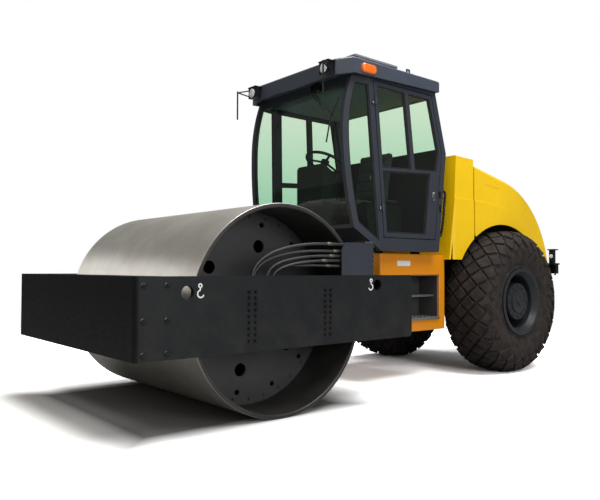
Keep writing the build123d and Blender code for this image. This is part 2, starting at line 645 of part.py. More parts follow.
def cowl_body(inset, over, half):
    """Solid of the cowl's side outline; over is how far the foot and rear faces are carried past it."""
    foot = (Y_HITCH + COWL_FOOT + inset, HOOD_LOW - over)
    head = (Y_HITCH + COWL_HEAD + inset, COWL_TOP - inset)
    rear = Y_HITCH + COWL_END + over
    return side_slab([foot, head, (rear, COWL_TOP - COWL_DROP - inset), (rear, HOOD_LOW - over)], -half, half)


def cowl():
    """Fixed cowl between cab and hood, open below and behind."""
    shell = cowl_body(0, 0, HOOD_HALF)
    upper = shell.edges().filter_by(lambda e: abs(abs(e.center().X) - HOOD_HALF) < 1)
    shell = fillet(upper.filter_by(lambda e: e.center().Z > COWL_TOP - 12), COWL_EDGE)
    shell -= cowl_body(SKIN, 1, SKIN_HALF)
    shell -= arches()
    shell -= above_crease()
    y = Y_HITCH + COWL_FOOT
    corner = [(HOOD_HALF + 1, y - 1), (HOOD_HALF + 1, y + COWL_BEVEL), (HOOD_HALF - COWL_BEVEL, y - 1)]
    bevel = plan_slab(corner, HOOD_LOW - 1, CREASE_LINE[1][1])
    shell -= bevel
    shell -= other_side(bevel)
    hinge = cowl_hinge()
    return shell + hinge + other_side(hinge)


LINER_IN = 400.0
LINER_LOW = YOKE_TOP + SEAT


def arch_liner():
    """Left wheel housing inside the hood: a band over the tyre and a wall down to the frame rail."""
    y, r = Y_AXLE + ARCH_DY, ARCH_R + 10
    ring = x_tube(r + 12, r, LINER_IN, SKIN_HALF - 8, y, ARCH_Z)
    wall = x_tube(r + 1, 0, LINER_IN, LINER_IN + 10, y, ARCH_Z)
    liner = ring & block(LINER_IN - 10, HOOD_HALF, y - 1000, y + 1000, HOOD_LOW + 8, 2000)
    liner += wall & block(LINER_IN - 10, LINER_IN + 20, y - 780, y + 780, LINER_LOW, 2000)
    return liner + block(RAIL_X + 15, LINER_IN + 10, y - 700, y + 700, LINER_LOW, LINER_LOW + 10)


WEIGHT_TOP = 1170.0


def counterweight():
    weight = block(-480, 480, Y_REAR - TAIL, Y_REAR - 110, 640, WEIGHT_TOP)
    return chamfer(weight.edges().filter_by(Axis.Z).sort_by(Axis.Y)[-2:], 60)


def tail_lamp():
    """Left rear bracket with a work lamp post, tail lamp box and its guard loop."""
    z = WEIGHT_TOP + SEAT
    bracket = block(420, 770, Y_REAR - 160, Y_REAR - 20, z, z + 20)
    bracket += block(700, 755, Y_REAR - 150, Y_REAR - 90, z + 19, z + 180)
    bracket += block(680, 775, Y_REAR - 155, Y_REAR - 60, z + 180, z + 194)
    bracket += block(640, 760, Y_REAR - 100, Y_REAR - 30, z - 110, z + 1)
    loop = block(700, 712, Y_REAR - 31, Y_REAR, z - 130, z + 6)
    return bracket + loop - block(690, 720, Y_REAR - 32, Y_REAR - 12, z - 118, z - 6)


def engine_block():
    """Engine as one plain block on its feet over the frame rails."""
    body = block(-290, 290, Y_AXLE - 300, Y_AXLE + 700, LINER_LOW + 15, 1750)
    for y in (Y_AXLE - 200, Y_AXLE + 560):
        body += block(-RAIL_X - 14, RAIL_X + 14, y - 40, y + 40, LINER_LOW, LINER_LOW + 30)
    return body


# ------------------------------------------------------------------ wheels
RIM_WELL = 75.0               # depth of the rim's well below its flange
RIM_LIP = 38.0
BEAD_R = RIM_R - 27
HUB_OUT_R, HUB_END_R = 215.0, 195.0
TYRE_PROFILE = (              # half section from the bead: (inwards from the side, radius)
    (60.0, BEAD_R + SEAT), (18.0, RIM_R + 35), (0.0, RIM_R + 190),
    (40.0, TYRE_R - 75), (115.0, TYRE_R - 8),
)


def at_wheel(shape):
    """Move a shape turned about the X axis to the left wheel."""
    return Pos(TYRE_X, Y_AXLE, TYRE_R) * shape


def tyre():
    """Closed tyre carcass with a rounded shoulder."""
    half = TYRE_WIDTH / 2
    outer = [(half - x, r) for x, r in TYRE_PROFILE]
    inner = [(-x, r) for x, r in reversed(outer)]
    return at_wheel(revolve(make_face(Polyline(*outer, (0, TYRE_R), *inner, close=True)), Axis.X))


def wheel_disc(r0, r1, x0, x1):
    """Cone or cylinder about the wheel's axis between two planes."""
    shape = Cylinder(r0, x1 - x0) if r0 == r1 else Cone(r0, r1, x1 - x0)
    return Pos((x0 + x1) / 2, 0, 0) * Rot(0, 90, 0) * shape


def rim():
    """Rim well and wheel disc with its hub, bored for the spindle."""
    half = TYRE_WIDTH / 2 - 20
    well = RIM_R - RIM_WELL
    edge = [(half - 60, well), (half, RIM_R - RIM_LIP), (half, RIM_R)]
    edge += [(half - 14, RIM_R), (half - 40, BEAD_R)]
    ring = revolve(make_face(Polyline(*edge, *[(-x, r) for x, r in reversed(edge)], close=True)), Axis.X)
    face = HUB_FACE - TYRE_X
    wheel = ring + wheel_disc(RIM_R - 60, RIM_R - 60, face, face + 24)
    wheel += wheel_disc(HUB_OUT_R, HUB_OUT_R, face, face + 140)
    wheel += wheel_disc(HUB_OUT_R, HUB_END_R, face + 120, face + 360)
    return at_wheel(wheel - wheel_disc(SPINDLE_R + RUN, SPINDLE_R + RUN, face - 21, face + 61))


# ------------------------------------------------------------------ cab
def cab_plane():
    """Plane of the cab's left side: u runs rearwards from the hitch, v up the side, w outwards."""
    t = radians(CAB_TILT)
    return Plane(origin=(CAB_HALF, Y_HITCH, CAB_LOW), x_dir=(0, 1, 0), z_dir=(cos(t), 0, sin(t)))


CAB_V = (CAB_TOP - CAB_LOW) / cos(radians(CAB_TILT))
B_LOW, B_HIGH = -313.0, -396.0        # front edge of the B pillar
B_PILLAR, C_PILLAR = 48.0, 70.0
C_FOOT, C_WAIST, C_HEAD = 530.0, 708.0, 568.0   # rear edge of the C pillar
WAIST_V = 1010.0
CAB_WALL = 60.0               # depth of the side members
DOOR_T = 40.0
DOOR_GAP = 8.0
FRAME_W = 40.0                # width of the door's frame members
SILL_V = 117.0
HEAD_V = CAB_V - 34
REAR_STILE = 105.0            # extra width of the door's rear member below the middle rail
MID_V, MID_RISE = 768.0, 0.052        # door's middle rail: height at the hitch, and its slope
MID_H = 28.0
DIVIDER = 0.545               # upper pane's divider, share of the door's width
DIVIDER_HALF = 26.0
PANE_W = -10.0                # outer face of the side windows


def b_edge(v, shift=0.0):
    """Front edge of the B pillar at v, moved rearwards by shift."""
    return B_LOW + (B_HIGH - B_LOW) * v / CAB_V + shift


def c_edge(v, shift=0.0):
    """Rear edge of the C pillar at v, moved rearwards by shift."""
    if v < WAIST_V:
        return C_FOOT + (C_WAIST - C_FOOT) * v / WAIST_V + shift
    return C_WAIST + (C_HEAD - C_WAIST) * (v - WAIST_V) / (CAB_V - WAIST_V) + shift


def v_at(z):
    """Distance up the cab's side at height z."""
    return (z - CAB_LOW) / cos(radians(CAB_TILT))


def side_x(z, inwards=0.0):
    """Half width of the cab at height z, less a distance inwards."""
    return CAB_HALF - (z - CAB_LOW) * tan(radians(CAB_TILT)) - inwards


def flat(points, w0, w1):
    """Slab in the cab's side plane."""
    return cab_plane() * (Pos(0, 0, w0) * extrude(make_face(Polyline(*points, close=True)), w1 - w0))


def side_outline(low, high, inset):
    """Outline inside the pillars between two heights, inset from each pillar's inner edge."""
    b, c = B_PILLAR + inset, -C_PILLAR - inset
    rear = [(c_edge(v, c), v) for v in (low, WAIST_V, high)]
    return [(b_edge(low, b), low), *rear, (b_edge(high, b), high)]


def side_frame():
    """B and C pillars, sill and head rail of one cab side."""
    rear = [(c_edge(v), v) for v in (0, WAIST_V, CAB_V)]
    outer = flat([(b_edge(0), 0), *rear, (b_edge(CAB_V), CAB_V)], -CAB_WALL, 0)
    return outer - flat(side_outline(SILL_V, HEAD_V, 0), -CAB_WALL - 1, 1)


def mid_v(u, side):
    """Lower (-1) or upper (1) edge of the door's middle rail at u."""
    return MID_V + MID_RISE * u + side * MID_H / 2


def door_panes():
    """Openings of the door: a lower pane and two upper panes, as point lists."""
    inset = DOOR_GAP + FRAME_W
    b, c = B_PILLAR + inset, -C_PILLAR - inset
    low, high = SILL_V + inset, HEAD_V - inset
    front_u, rear_u = b_edge(MID_V, b), c_edge(MID_V, c)
    low_m = [mid_v(u, -1) for u in (front_u, rear_u)]
    up_m = [mid_v(u, 1) for u in (front_u, rear_u)]
    foot_u = front_u + (rear_u - front_u) * DIVIDER
    head_u = b_edge(high, b) + (c_edge(high, c) - b_edge(high, b)) * DIVIDER
    lower = [(b_edge(low, b), low), (c_edge(low, c - REAR_STILE), low),
             (rear_u - REAR_STILE, low_m[1]), (front_u, low_m[0])]
    front = [(front_u, up_m[0]), (foot_u - DIVIDER_HALF, mid_v(foot_u, 1)),
             (head_u - DIVIDER_HALF, high), (b_edge(high, b), high)]
    rear = [(foot_u + DIVIDER_HALF, mid_v(foot_u, 1)), (rear_u, up_m[1]), (c_edge(WAIST_V, c), WAIST_V),
            (c_edge(high, c), high), (head_u + DIVIDER_HALF, high)]
    return [lower, front, rear]


HINGE_V = (400.0, 1380.0)
HINGE_L = 60.0
HINGE_W = 12.0                # hinge axis outside the cab's side
LEAF = (-0.5, 8.0)            # faces of the hinge leaves, outside the cab's side
LEAF_L = 40.0


def hinge_point(v):
    """Point on the door's hinge axis."""
    return cab_plane().from_local_coords(Vector(b_edge(v, B_PILLAR + DOOR_GAP / 2), v, HINGE_W))


def door_axis():
    return (hinge_point(1000) - hinge_point(0)).normalized()


def hinge_leaf(v0, v1, far):
    """Leaf between two heights, from the hinge axis to far behind the pillar's front edge."""
    near = B_PILLAR + DOOR_GAP / 2
    corners = ((v0, far), (v1, far), (v1, near), (v0, near))
    return flat([(b_edge(v, shift), v) for v, shift in corners], *LEAF)


def door_frame():
    """Left door's frame with its hinge halves."""
    door = flat(side_outline(SILL_V + DOOR_GAP, HEAD_V - DOOR_GAP, DOOR_GAP), -DOOR_T, 0)
    for pane in door_panes():
        door -= flat(pane, -DOOR_T - 1, 1)
    a, half = door_axis(), HINGE_L / 2
    for v in HINGE_V:
        p = hinge_point(v)
        door += rod(p + a * SEAT, p + a * half, HINGE_R)
        door += hinge_leaf(v + 1, v + half, B_PILLAR + DOOR_GAP + LEAF_L)
        door -= rod(p - a * 5, p + a * (half - 6), 5 + RUN)
    return door


def door_glass():
    return [flat(pane, PANE_W - GLASS, PANE_W) for pane in door_panes()]


A_X = CAB_HALF - 105          # half width at the screen's foremost line
A_TOP = (-578.0, CAB_TOP)     # outer face of the front pillar: behind the hitch, z
A_NOSE = (-697.0, CAB_TOP - 570)
A_FOOT = (-600.0, 1480.0)
A_DEPTH = 58.0
A_WALL = 42.0
HEADER_H = 90.0
FOOT_RAIL = 35.0
SCREEN_DEPTH = 14.0           # screen behind the pillar's outer face


def a_curve(depth):
    """Screen line in the side view, two arcs that meet upright at the nose, moved back by depth."""
    top, nose, foot = ((Y_HITCH + y + depth, z) for y, z in (A_TOP, A_NOSE, A_FOOT))
    return TangentArc(nose, top, tangent=(0, 1)), TangentArc(nose, foot, tangent=(0, -1))


def a_band(d0, d1):
    """Face between two copies of the screen line, in the side view."""
    upper0, lower0 = a_curve(d0)
    upper1, lower1 = a_curve(d1)
    ends = [Line(upper0 @ 1, upper1 @ 1), Line(lower0 @ 1, lower1 @ 1)]
    return Plane.YZ * make_face([upper0, lower0, upper1, lower1, *ends])


def cab_frame():
    """Welded frame: both sides, curved front pillars, sills, headers and rear members."""
    left = side_frame() + quarter_frame()
    a, half = door_axis(), HINGE_L / 2
    for v in HINGE_V:
        p = hinge_point(v)
        left += rod(p - a * half, p - a * SEAT, HINGE_R)
        left += rod(p - a * half, p + a * (half - 8), 5)
        left += hinge_leaf(v - half, v - 2, B_PILLAR - LEAF_L)
    frame = left + other_side(left)
    y = Y_HITCH + A_TOP[0]
    frame += block(-A_X, A_X, y + 20, y + 80, CAB_TOP - HEADER_H, CAB_TOP)
    y, z = Y_HITCH + A_FOOT[0], A_FOOT[1]
    frame += block(-A_X, A_X, y + 8, y + 68, z + 1, z + FOOT_RAIL)
    x = side_x(CAB_TOP, 30)
    y = Y_HITCH + C_HEAD
    frame += block(-x, x, y - 50, y - 10, CAB_TOP - 60, CAB_TOP)
    y = Y_HITCH + C_FOOT
    return frame + block(-CAB_HALF + 40, CAB_HALF - 40, y - 40, y - 6, CAB_LOW + 60, CAB_LOW + 130)


TOE_FROM, TOE_END, TOE_RISE = -270.0, -530.0, 120.0     # toe board: from the hitch, and its height
FLOOR_T = 40.0


def cab_floor():
    """Floor pan and the sloping toe board below the windscreen."""
    x = CAB_HALF - 66
    y0, y1 = Y_HITCH + TOE_FROM, Y_HITCH + TOE_END
    low, high = FLOOR_Z - FLOOR_T, FLOOR_Z + TOE_RISE
    floor = block(-x, x, y0, Y_HITCH + C_FOOT - 70, low, FLOOR_Z)
    return floor + side_slab([(y0, low), (y0, FLOOR_Z), (y1, high), (y1, high - FLOOR_T)], 94 - x, x - 94)


def toe_top(y):
    """Height of the toe board's upper face at y."""
    return FLOOR_Z + TOE_RISE * (Y_HITCH + TOE_FROM - y) / (TOE_FROM - TOE_END)


def cab_mounts():
    """Rubber mounts between the side boxes and the cab floor."""
    out = []
    for y in (-140, 400):
        foot = (600, Y_HITCH + y, BOX_TOP + SEAT)
        out += both(rod(foot, (600, Y_HITCH + y, FLOOR_Z - FLOOR_T - SEAT), 48))
    return out


def quarter_plane():
    """Plane of the front quarter: through the B pillar's front edge and the screen's foremost point."""
    side = cab_plane()
    low = side.from_local_coords(Vector(b_edge(0), 0, 0))
    high = side.from_local_coords(Vector(b_edge(CAB_V), CAB_V, 0))
    nose = Vector(A_X, Y_HITCH + A_NOSE[0], A_NOSE[1])
    normal = (high - low).cross(nose - low).normalized()
    if normal.X < 0:
        normal = normal * -1
    return Plane(origin=low, x_dir=(high - low), z_dir=normal)


def quarter_slab(w0, w1):
    return quarter_plane() * (Pos(0, 0, (w0 + w1) / 2) * Box(5000, 3000, w1 - w0))


SILL_RISE = 82.0              # depth of the quarter's sloping sill
QUARTER_LEAN = 12.0           # width of the frame along the B pillar


def quarter_outline(rise, lean, z_top):
    """Side view of the quarter, behind the screen line and above the sill."""
    (y_foot, z_foot), front = A_FOOT, Y_HITCH - 900
    low = CAB_LOW + rise
    outline = [(front, z_foot + rise), (Y_HITCH + y_foot, z_foot + rise)]
    outline += [(Y_HITCH + b_edge(v_at(z)) - lean, z) for z in (low, z_top)]
    return side_slab(outline + [(front, z_top)], 500, CAB_HALF + 50)


def ahead_of_screen(depth):
    """Everything in front of the screen line moved back by depth, left side."""
    return Pos(500, 0, 0) * extrude(a_band(-600, depth), CAB_HALF - 400, dir=(1, 0, 0))


def quarter_opening():
    opening = quarter_outline(SILL_RISE, QUARTER_LEAN, CAB_TOP - HEADER_H)
    return opening - ahead_of_screen(A_DEPTH)


def quarter_frame():
    """Left front pillar, sloping sill and mitre to the B pillar in one plane."""
    whole = quarter_outline(0, 0, CAB_TOP) - ahead_of_screen(0)
    return (whole & quarter_slab(-A_WALL, 0)) - quarter_opening()


def quarter_glass():
    return quarter_opening() & quarter_slab(PANE_W - GLASS, PANE_W)


def windscreen():
    """Curved screen between the front pillars, the header and the foot rail."""
    glass = extrude(a_band(SCREEN_DEPTH, SCREEN_DEPTH + GLASS), CAB_HALF, both=True)
    z0, z1 = A_FOOT[1] + FOOT_RAIL + SEAT, CAB_TOP - HEADER_H - SEAT
    glass &= block(-CAB_HALF, CAB_HALF, Y_HITCH - 900, Y_HITCH, z0, z1)
    side = quarter_slab(-A_WALL - SEAT, 400)
    glass -= side
    return glass - other_side(side)


REAR_INSET = 50.0             # rear wall and window ahead of the C pillars' rear edges
REAR_GAP = 7.0                # between their ends and the pillars
WINDOW_LOW = CAB_TOP - 560
REAR_WALL_T = 25.0


def rear_line(z):
    return Y_HITCH + c_edge(v_at(z), -REAR_INSET)


def rear_glass():
    z0, z1 = WINDOW_LOW + SEAT, CAB_TOP - 60 - SEAT
    y0, y1 = rear_line(z0), rear_line(z1)
    half = side_x(CAB_TOP, CAB_WALL + REAR_GAP)
    return side_slab([(y0, z0), (y0 + GLASS, z0), (y1 + GLASS, z1), (y1, z1)], -half, half)


def cab_rear_wall():
    """Panel between the C pillars below the rear window."""
    heights = (CAB_LOW + 130 + SEAT, CAB_LOW + WAIST_V * cos(radians(CAB_TILT)), WINDOW_LOW)
    inner = [(rear_line(z), z) for z in heights]
    half = side_x(WINDOW_LOW, CAB_WALL + REAR_GAP)
    return side_slab(inner + [(y + REAR_WALL_T, z) for y, z in reversed(inner)], -half, half)


# ------------------------------------------------------------------ roof and fittings
ROOF_HALF = CAB_HALF - 25
ROOF_CORNER = 155.0           # width of the tapered front corners
ROOF_Y = (-720.0, -630.0, 575.0)      # front, end of the front corners and rear, behind the hitch
ROOF_PLAN = ((ROOF_HALF - ROOF_CORNER, ROOF_Y[0]), (ROOF_HALF, ROOF_Y[1]), (ROOF_HALF, ROOF_Y[2]))
ROOF_TOP = CAB_TOP + 112
LIP = 25.0
LIP_FRONT = CAB_TOP - 38      # lower edge of the roof's sides; at the rear it meets the frame's top
EYE_X, EYE_Y = ROOF_HALF - 125, 242.0
HATCH_HALF = 550.0
HATCH_Y = (-395.0, 190.0)
HATCH_TOP = ROOF_TOP + 113


def roof_slab(inset, z0, z1):
    """The roof's plan, inset at its front and sides."""
    left = [(x - inset, Y_HITCH + y + (inset if y < 0 else 1)) for x, y in ROOF_PLAN]
    return plan_slab(left + [(-x, y) for x, y in reversed(left)], z0, z1)


def cab_roof():
    """Roof shell with tapered front corners, a lip round its underside and two lifting eyes."""
    top = roof_slab(0, LIP_FRONT, ROOF_TOP)
    top = chamfer(top.faces().sort_by(Axis.Z)[-1].edges(), 14)
    top -= roof_slab(LIP, LIP_FRONT - 1, CAB_TOP + SEAT)
    front, rear = Y_HITCH + ROOF_PLAN[0][1] - 1, Y_HITCH + ROOF_PLAN[2][1] + 2
    low, high = LIP_FRONT - 1, CAB_TOP + SEAT
    top -= side_slab([(front, low), (rear, low), (rear, high), (front, LIP_FRONT)], -CAB_HALF, CAB_HALF)
    y = Y_HITCH + EYE_Y
    eye = block(EYE_X - 6, EYE_X + 6, y - 25, y + 25, ROOF_TOP - 5, ROOF_TOP + 85)
    eye -= x_tube(14, 0, EYE_X - 7, EYE_X + 7, y, ROOF_TOP + 58)
    return top + eye + other_side(eye)


def roof_hatch():
    y0, y1 = (Y_HITCH + y for y in HATCH_Y)
    lid = block(-HATCH_HALF, HATCH_HALF, y0, y1, ROOF_TOP, HATCH_TOP)
    lid = fillet(lid.edges().filter_by(Axis.Z), 60)
    return chamfer(lid.faces().sort_by(Axis.Z)[-1].edges(), 25)


LAMP_X = ROOF_HALF - 225
LAMP_HALF = 60.0
LAMP_Z = (CAB_TOP - 28, CAB_TOP + 80)
MARKER = (-545.0, -365.0, CAB_TOP - 12, CAB_TOP + 70)       # behind the hitch, then z
MARKER_OUT = 28.0
MIRROR_TIP = (LAMP_X + 110, -905.0, CAB_TOP + 30)           # x, behind the hitch, z
MIRROR_DROP = 280.0           # length of the mirror's upright tube below the tip
TUBE_R = 8.0                  # upright tube
ARM_R = 7.0                   # the two arms that carry it


def work_lamp():
    """Left work lamp on its bracket at the roof's front, with the mirror arm beside it."""
    y = Y_HITCH + ROOF_PLAN[0][1]
    x0, x1 = LAMP_X - LAMP_HALF, LAMP_X + LAMP_HALF
    low, high = LAMP_Z
    lamp = block(x0, x1, y - 82, y - 20, low, high)
    lamp = chamfer(lamp.edges().filter_by(Axis.X).sort_by(Axis.Y)[-2:], 20)
    lamp += block(x0 - 6, x1 + 6, y - 86, y - SEAT, high - 1, high + 9)
    lamp += block(LAMP_X - 25, LAMP_X + 25, y - 21, y - SEAT, high - 55, high)
    tip_x, tip_y, tip_z = MIRROR_TIP
    tip = (tip_x, Y_HITCH + tip_y, tip_z)
    for z in (low + 21, high - 16):
        lamp += rod((x1 - 5, y - 52, z), tip, ARM_R)
    return lamp + rod((*tip[:2], tip_z + 12), (*tip[:2], tip_z - MIRROR_DROP), TUBE_R)


def marker_lamp():
    """Left side marker on the roof's edge."""
    y0, y1, z0, z1 = MARKER
    x = ROOF_HALF + SEAT
    lamp = block(x, x + MARKER_OUT, Y_HITCH + y0, Y_HITCH + y1, z0, z1)
    lamp = fillet(lamp.edges().filter_by(Axis.X), 34)
    return fillet(lamp.faces().sort_by(Axis.X)[-1].edges(), 18)


RAIL_W = -22.0                # handrail's line, inside the cab's side plane
RAIL_R = 12.0
RAIL_ENDS = (630.0, 160.0)    # v of the handrail's upper and lower feet
RAIL_OUT_BY = 62.0            # handrail's reach behind the pillar
RAIL_FOOT = (12.0, 28.0)      # foot plate's thickness and half height


def handrail():
    """Left grab rail behind the C pillar: two foot plates and one bent tube."""
    plate_t, half = RAIL_FOOT
    top, low = RAIL_ENDS
    route = [(plate_t - 2, top), (RAIL_OUT_BY, top - 10), (RAIL_OUT_BY, top - 290),
             (plate_t + 32, low + 10), (plate_t - 2, low)]
    side = cab_plane()
    points = [side.from_local_coords(Vector(c_edge(v, reach), v, RAIL_W)) for reach, v in route]
    rail = bent_tube([(p.X, p.Y, p.Z) for p in points], RAIL_R)
    for v in RAIL_ENDS:
        v0, v1 = v - half, v + half
        rail += flat([(c_edge(v0, SEAT), v0), (c_edge(v0, plate_t), v0),
                      (c_edge(v1, plate_t), v1), (c_edge(v1, SEAT), v1)], -CAB_WALL + 12, -6)
    return rail


WIPER_ARMS = (173.0, 217.0)           # x of the two arm pivots
WIPER_PIVOT_Z = CAB_TOP - 85
WIPER_JOINT = (547.0, WIPER_PIVOT_Z - 324)    # x and z where the arms carry the blade
WIPER_BLADE = ((625.0, WIPER_PIVOT_Z - 151), (499.0, WIPER_PIVOT_Z - 550))
WIPER_OFF = 22.0              # arms ahead of the pillars' outer face


def screen_y(z, off):
    """A point's y at height z, off ahead of the front pillars' outer face."""
    (top_y, top_z), (nose_y, nose_z), (foot_y, foot_z) = A_TOP, A_NOSE, A_FOOT
    end_y, end_z = (top_y, top_z) if z > nose_z else (foot_y, foot_z)
    rise, back = abs(end_z - nose_z), end_y - nose_y
    r = (rise ** 2 + back ** 2) / (2 * back)
    return Y_HITCH + nose_y + r - (r ** 2 - (z - nose_z) ** 2) ** 0.5 - off


def wiper():
    """Parallel-arm windscreen wiper: motor box on the header, two arms and the blade."""
    def at(x, z, off=WIPER_OFF):
        return (x, screen_y(z, off), z)
    header = Y_HITCH + A_TOP[0] + 20 - SEAT
    box = block(140, 250, header - 40, header, WIPER_PIVOT_Z + 5, WIPER_PIVOT_Z + 65)
    joint_x, joint_z = WIPER_JOINT
    for x in WIPER_ARMS:
        pivot = (x, header - 30, WIPER_PIVOT_Z + 15)
        knee = at(x + 25, WIPER_PIVOT_Z - 25)
        box += rod(pivot, knee, 5) + rod(knee, at(joint_x, joint_z), 5)
    (x0, z0), (x1, z1) = WIPER_BLADE
    mid = at(joint_x, joint_z)
    return box + rod(at(x0, z0), mid, 7) + rod(mid, at(x1, z1), 7)


# ------------------------------------------------------------------ inside the cab
SEAT_Y = -60.0                # front of the seat cushion, behind the hitch
CUSHION_Z = FLOOR_Z + 300
BACK_Z = CUSHION_Z + 110
CONSOLES = ((-440.0, -290.0, 1800.0), (300.0, 420.0, 1760.0))       # x range and top
CONSOLE_Y = (-110.0, 400.0)


def seat_base():
    """Seat pedestal with its sloping links and frame."""
    y = Y_HITCH + SEAT_Y
    base = block(-200, 200, y + 60, y + 440, FLOOR_Z, FLOOR_Z + 160)
    base += block(-230, 230, y + 30, y + 470, FLOOR_Z + 240, CUSHION_Z)
    low, high = FLOOR_Z + 150, FLOOR_Z + 250
    for x in (-150, 150):
        base += side_slab([(y + 90, low), (y + 140, low), (y + 400, high), (y + 350, high)], x - 15, x + 15)
    return base


def side_consoles():
    """Armrest consoles on both sides of the seat."""
    y0, y1 = (Y_HITCH + y for y in CONSOLE_Y)
    out = []
    for x0, x1, top in CONSOLES:
        outline = [(y0 + 60, FLOOR_Z), (y1, FLOOR_Z), (y1, top), (y0, top), (y0, top - 120)]
        out.append(side_slab(outline, x0, x1))
    return out


def seat_cushion():
    y = Y_HITCH + SEAT_Y
    pad = block(-245, 245, y, y + 480, CUSHION_Z + SEAT, BACK_Z)
    return fillet(pad.edges(), 28)


def seat_back():
    y, z = Y_HITCH + SEAT_Y + 395, BACK_Z + SEAT
    pad = side_slab([(y, z), (y + 95, z), (y + 190, z + 560), (y + 110, z + 560)], -235, 235)
    return fillet(pad.edges(), 28)


DASH_Y = -400.0
DASH_HALF = 190.0
DASH_TOP = 2140.0
WHEEL_AT = (-280.0, 2190.0)   # steering wheel's hub: behind the hitch, z
WHEEL_TILT = -25.0
WHEEL_R, GRIP_R = 195.0, 15.0


def dash_console():
    """Steering console that stands on the toe board, with a sloping instrument face."""
    y = Y_HITCH + DASH_Y
    front, rear = y - 90, y + 100
    foot = rear - 60
    outline = [(front, toe_top(front) + SEAT), (foot, toe_top(foot) + SEAT), (rear - 40, DASH_TOP - 200),
               (rear, DASH_TOP - 100), (front + 20, DASH_TOP), (front, DASH_TOP - 30)]
    return side_slab(outline, -DASH_HALF, DASH_HALF)


def steering_wheel():
    """Rim, three spokes, hub and the column tube, tilted towards the seat."""
    wheel = Torus(WHEEL_R, GRIP_R)
    for i in range(3):
        wheel += Rot(0, 0, 90 + 120 * i) * (Pos(WHEEL_R / 2, 0, 0) * Box(WHEEL_R - 1, 24, 12))
    wheel += Cylinder(42, 36) + Pos(0, 0, -170) * Cylinder(22, 330)
    y, z = WHEEL_AT
    return Pos(0, Y_HITCH + y, z) * Rot(WHEEL_TILT, 0, 0) * wheel - dash_console()


# ------------------------------------------------------------------ all nodes
def build():
    os.makedirs("parts", exist_ok=True)
    save("drum_shell", drum_shell())
    save("drum_discs", *both(drum_disc()))
    save("front_beam", front_beam())
    save("rear_cross_beam", rear_cross_beam(), *hose_fittings())
    save("drum_scrapers", scraper(-1), scraper(1))
    save("drum_supports", *drum_supports())
    save("rubber_buffers", *buffers())
    save("hose_guard", hose_guard())
    for i, route in enumerate(HOSES, 1):
        save(f"drum_hose_{i}", drum_hose(route))
    save("hitch_block", hitch_block())
    save("hitch_pins", *hitch_pins())
    save("chassis", chassis())
    save("rear_axle", rear_axle())
    save("step_treads", *both(step_treads()[0]), *both(step_treads()[1]))
    save("hose_bulkhead", hose_bulkhead())
    save("cowl", cowl())
    save("engine_hood", engine_hood())
    save("arch_liners", *both(arch_liner()))
    save("engine_block", engine_block())
    save("counterweight", counterweight())
    save("tail_lamps", *both(tail_lamp()))
    save("cab_frame", cab_frame())
    save("cab_floor", cab_floor())
    save("cab_mounts", *cab_mounts())
    save("cab_rear_wall", cab_rear_wall())
    save("windscreen", windscreen())
    save("rear_glass", rear_glass())
    save("quarter_glass", *both(quarter_glass()))
    save("cab_roof", cab_roof())
    save("roof_hatch", roof_hatch())
    save("work_lamps", *both(work_lamp()))
    save("marker_lamps", *both(marker_lamp()))
    save("handrails", *both(handrail()))
    save("wiper", wiper())
    save("seat_base", seat_base())
    save("side_consoles", *side_consoles())
    save("seat_cushion", seat_cushion())
    save("seat_back", seat_back())
    save("dash_console", dash_console())
    save("steering_wheel", steering_wheel())
    pairs = {
        "side_plate": [side_plate()],
        "steering_barrel": [steering_barrel()],
        "steering_rod": [steering_rod()],
        "side_box": [side_box()],
        "tyre": [tyre()],
        "rim": [rim()],
        "door": [door_frame()],
        "door_glass": door_glass(),
    }
    for name, solids in pairs.items():
        save(f"{name}_left", *solids)
        save(f"{name}_right", *[other_side(s) for s in solids])


build()
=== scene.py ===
"""Looks of a single-drum road roller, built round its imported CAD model.

Metres; +X is the machine's left, -Y its front.
"""
import json
import math

import bmesh
import bpy
from mathutils import Matrix, Vector


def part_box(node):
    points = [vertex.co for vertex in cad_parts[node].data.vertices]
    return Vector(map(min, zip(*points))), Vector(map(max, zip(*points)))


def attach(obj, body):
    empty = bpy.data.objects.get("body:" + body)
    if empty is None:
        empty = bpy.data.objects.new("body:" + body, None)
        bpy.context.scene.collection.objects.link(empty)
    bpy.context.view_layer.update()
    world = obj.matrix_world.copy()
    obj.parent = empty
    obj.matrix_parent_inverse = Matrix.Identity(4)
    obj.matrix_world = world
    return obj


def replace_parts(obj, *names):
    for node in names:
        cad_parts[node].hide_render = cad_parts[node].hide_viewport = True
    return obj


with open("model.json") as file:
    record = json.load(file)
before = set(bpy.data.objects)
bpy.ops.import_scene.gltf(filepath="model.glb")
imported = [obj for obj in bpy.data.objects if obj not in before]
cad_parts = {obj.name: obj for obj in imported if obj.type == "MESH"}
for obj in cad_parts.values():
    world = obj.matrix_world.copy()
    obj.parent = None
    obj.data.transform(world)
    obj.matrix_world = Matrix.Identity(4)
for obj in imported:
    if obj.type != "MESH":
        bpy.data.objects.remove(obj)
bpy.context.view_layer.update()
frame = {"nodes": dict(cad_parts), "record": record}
NODES = frame["nodes"]


def middle(node):
    """Centre of a CAD node's box."""
    low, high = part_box(node)
    return (low + high) / 2


DRUM = middle("drum_shell")            # on the drum's axis
DRUM_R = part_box("drum_shell")[1].z - DRUM.z
TYRE = middle("tyre_left")
HITCH_Y = middle("hitch_pins").y
HITCH_Z = 0.785                        # height of the oscillation shaft


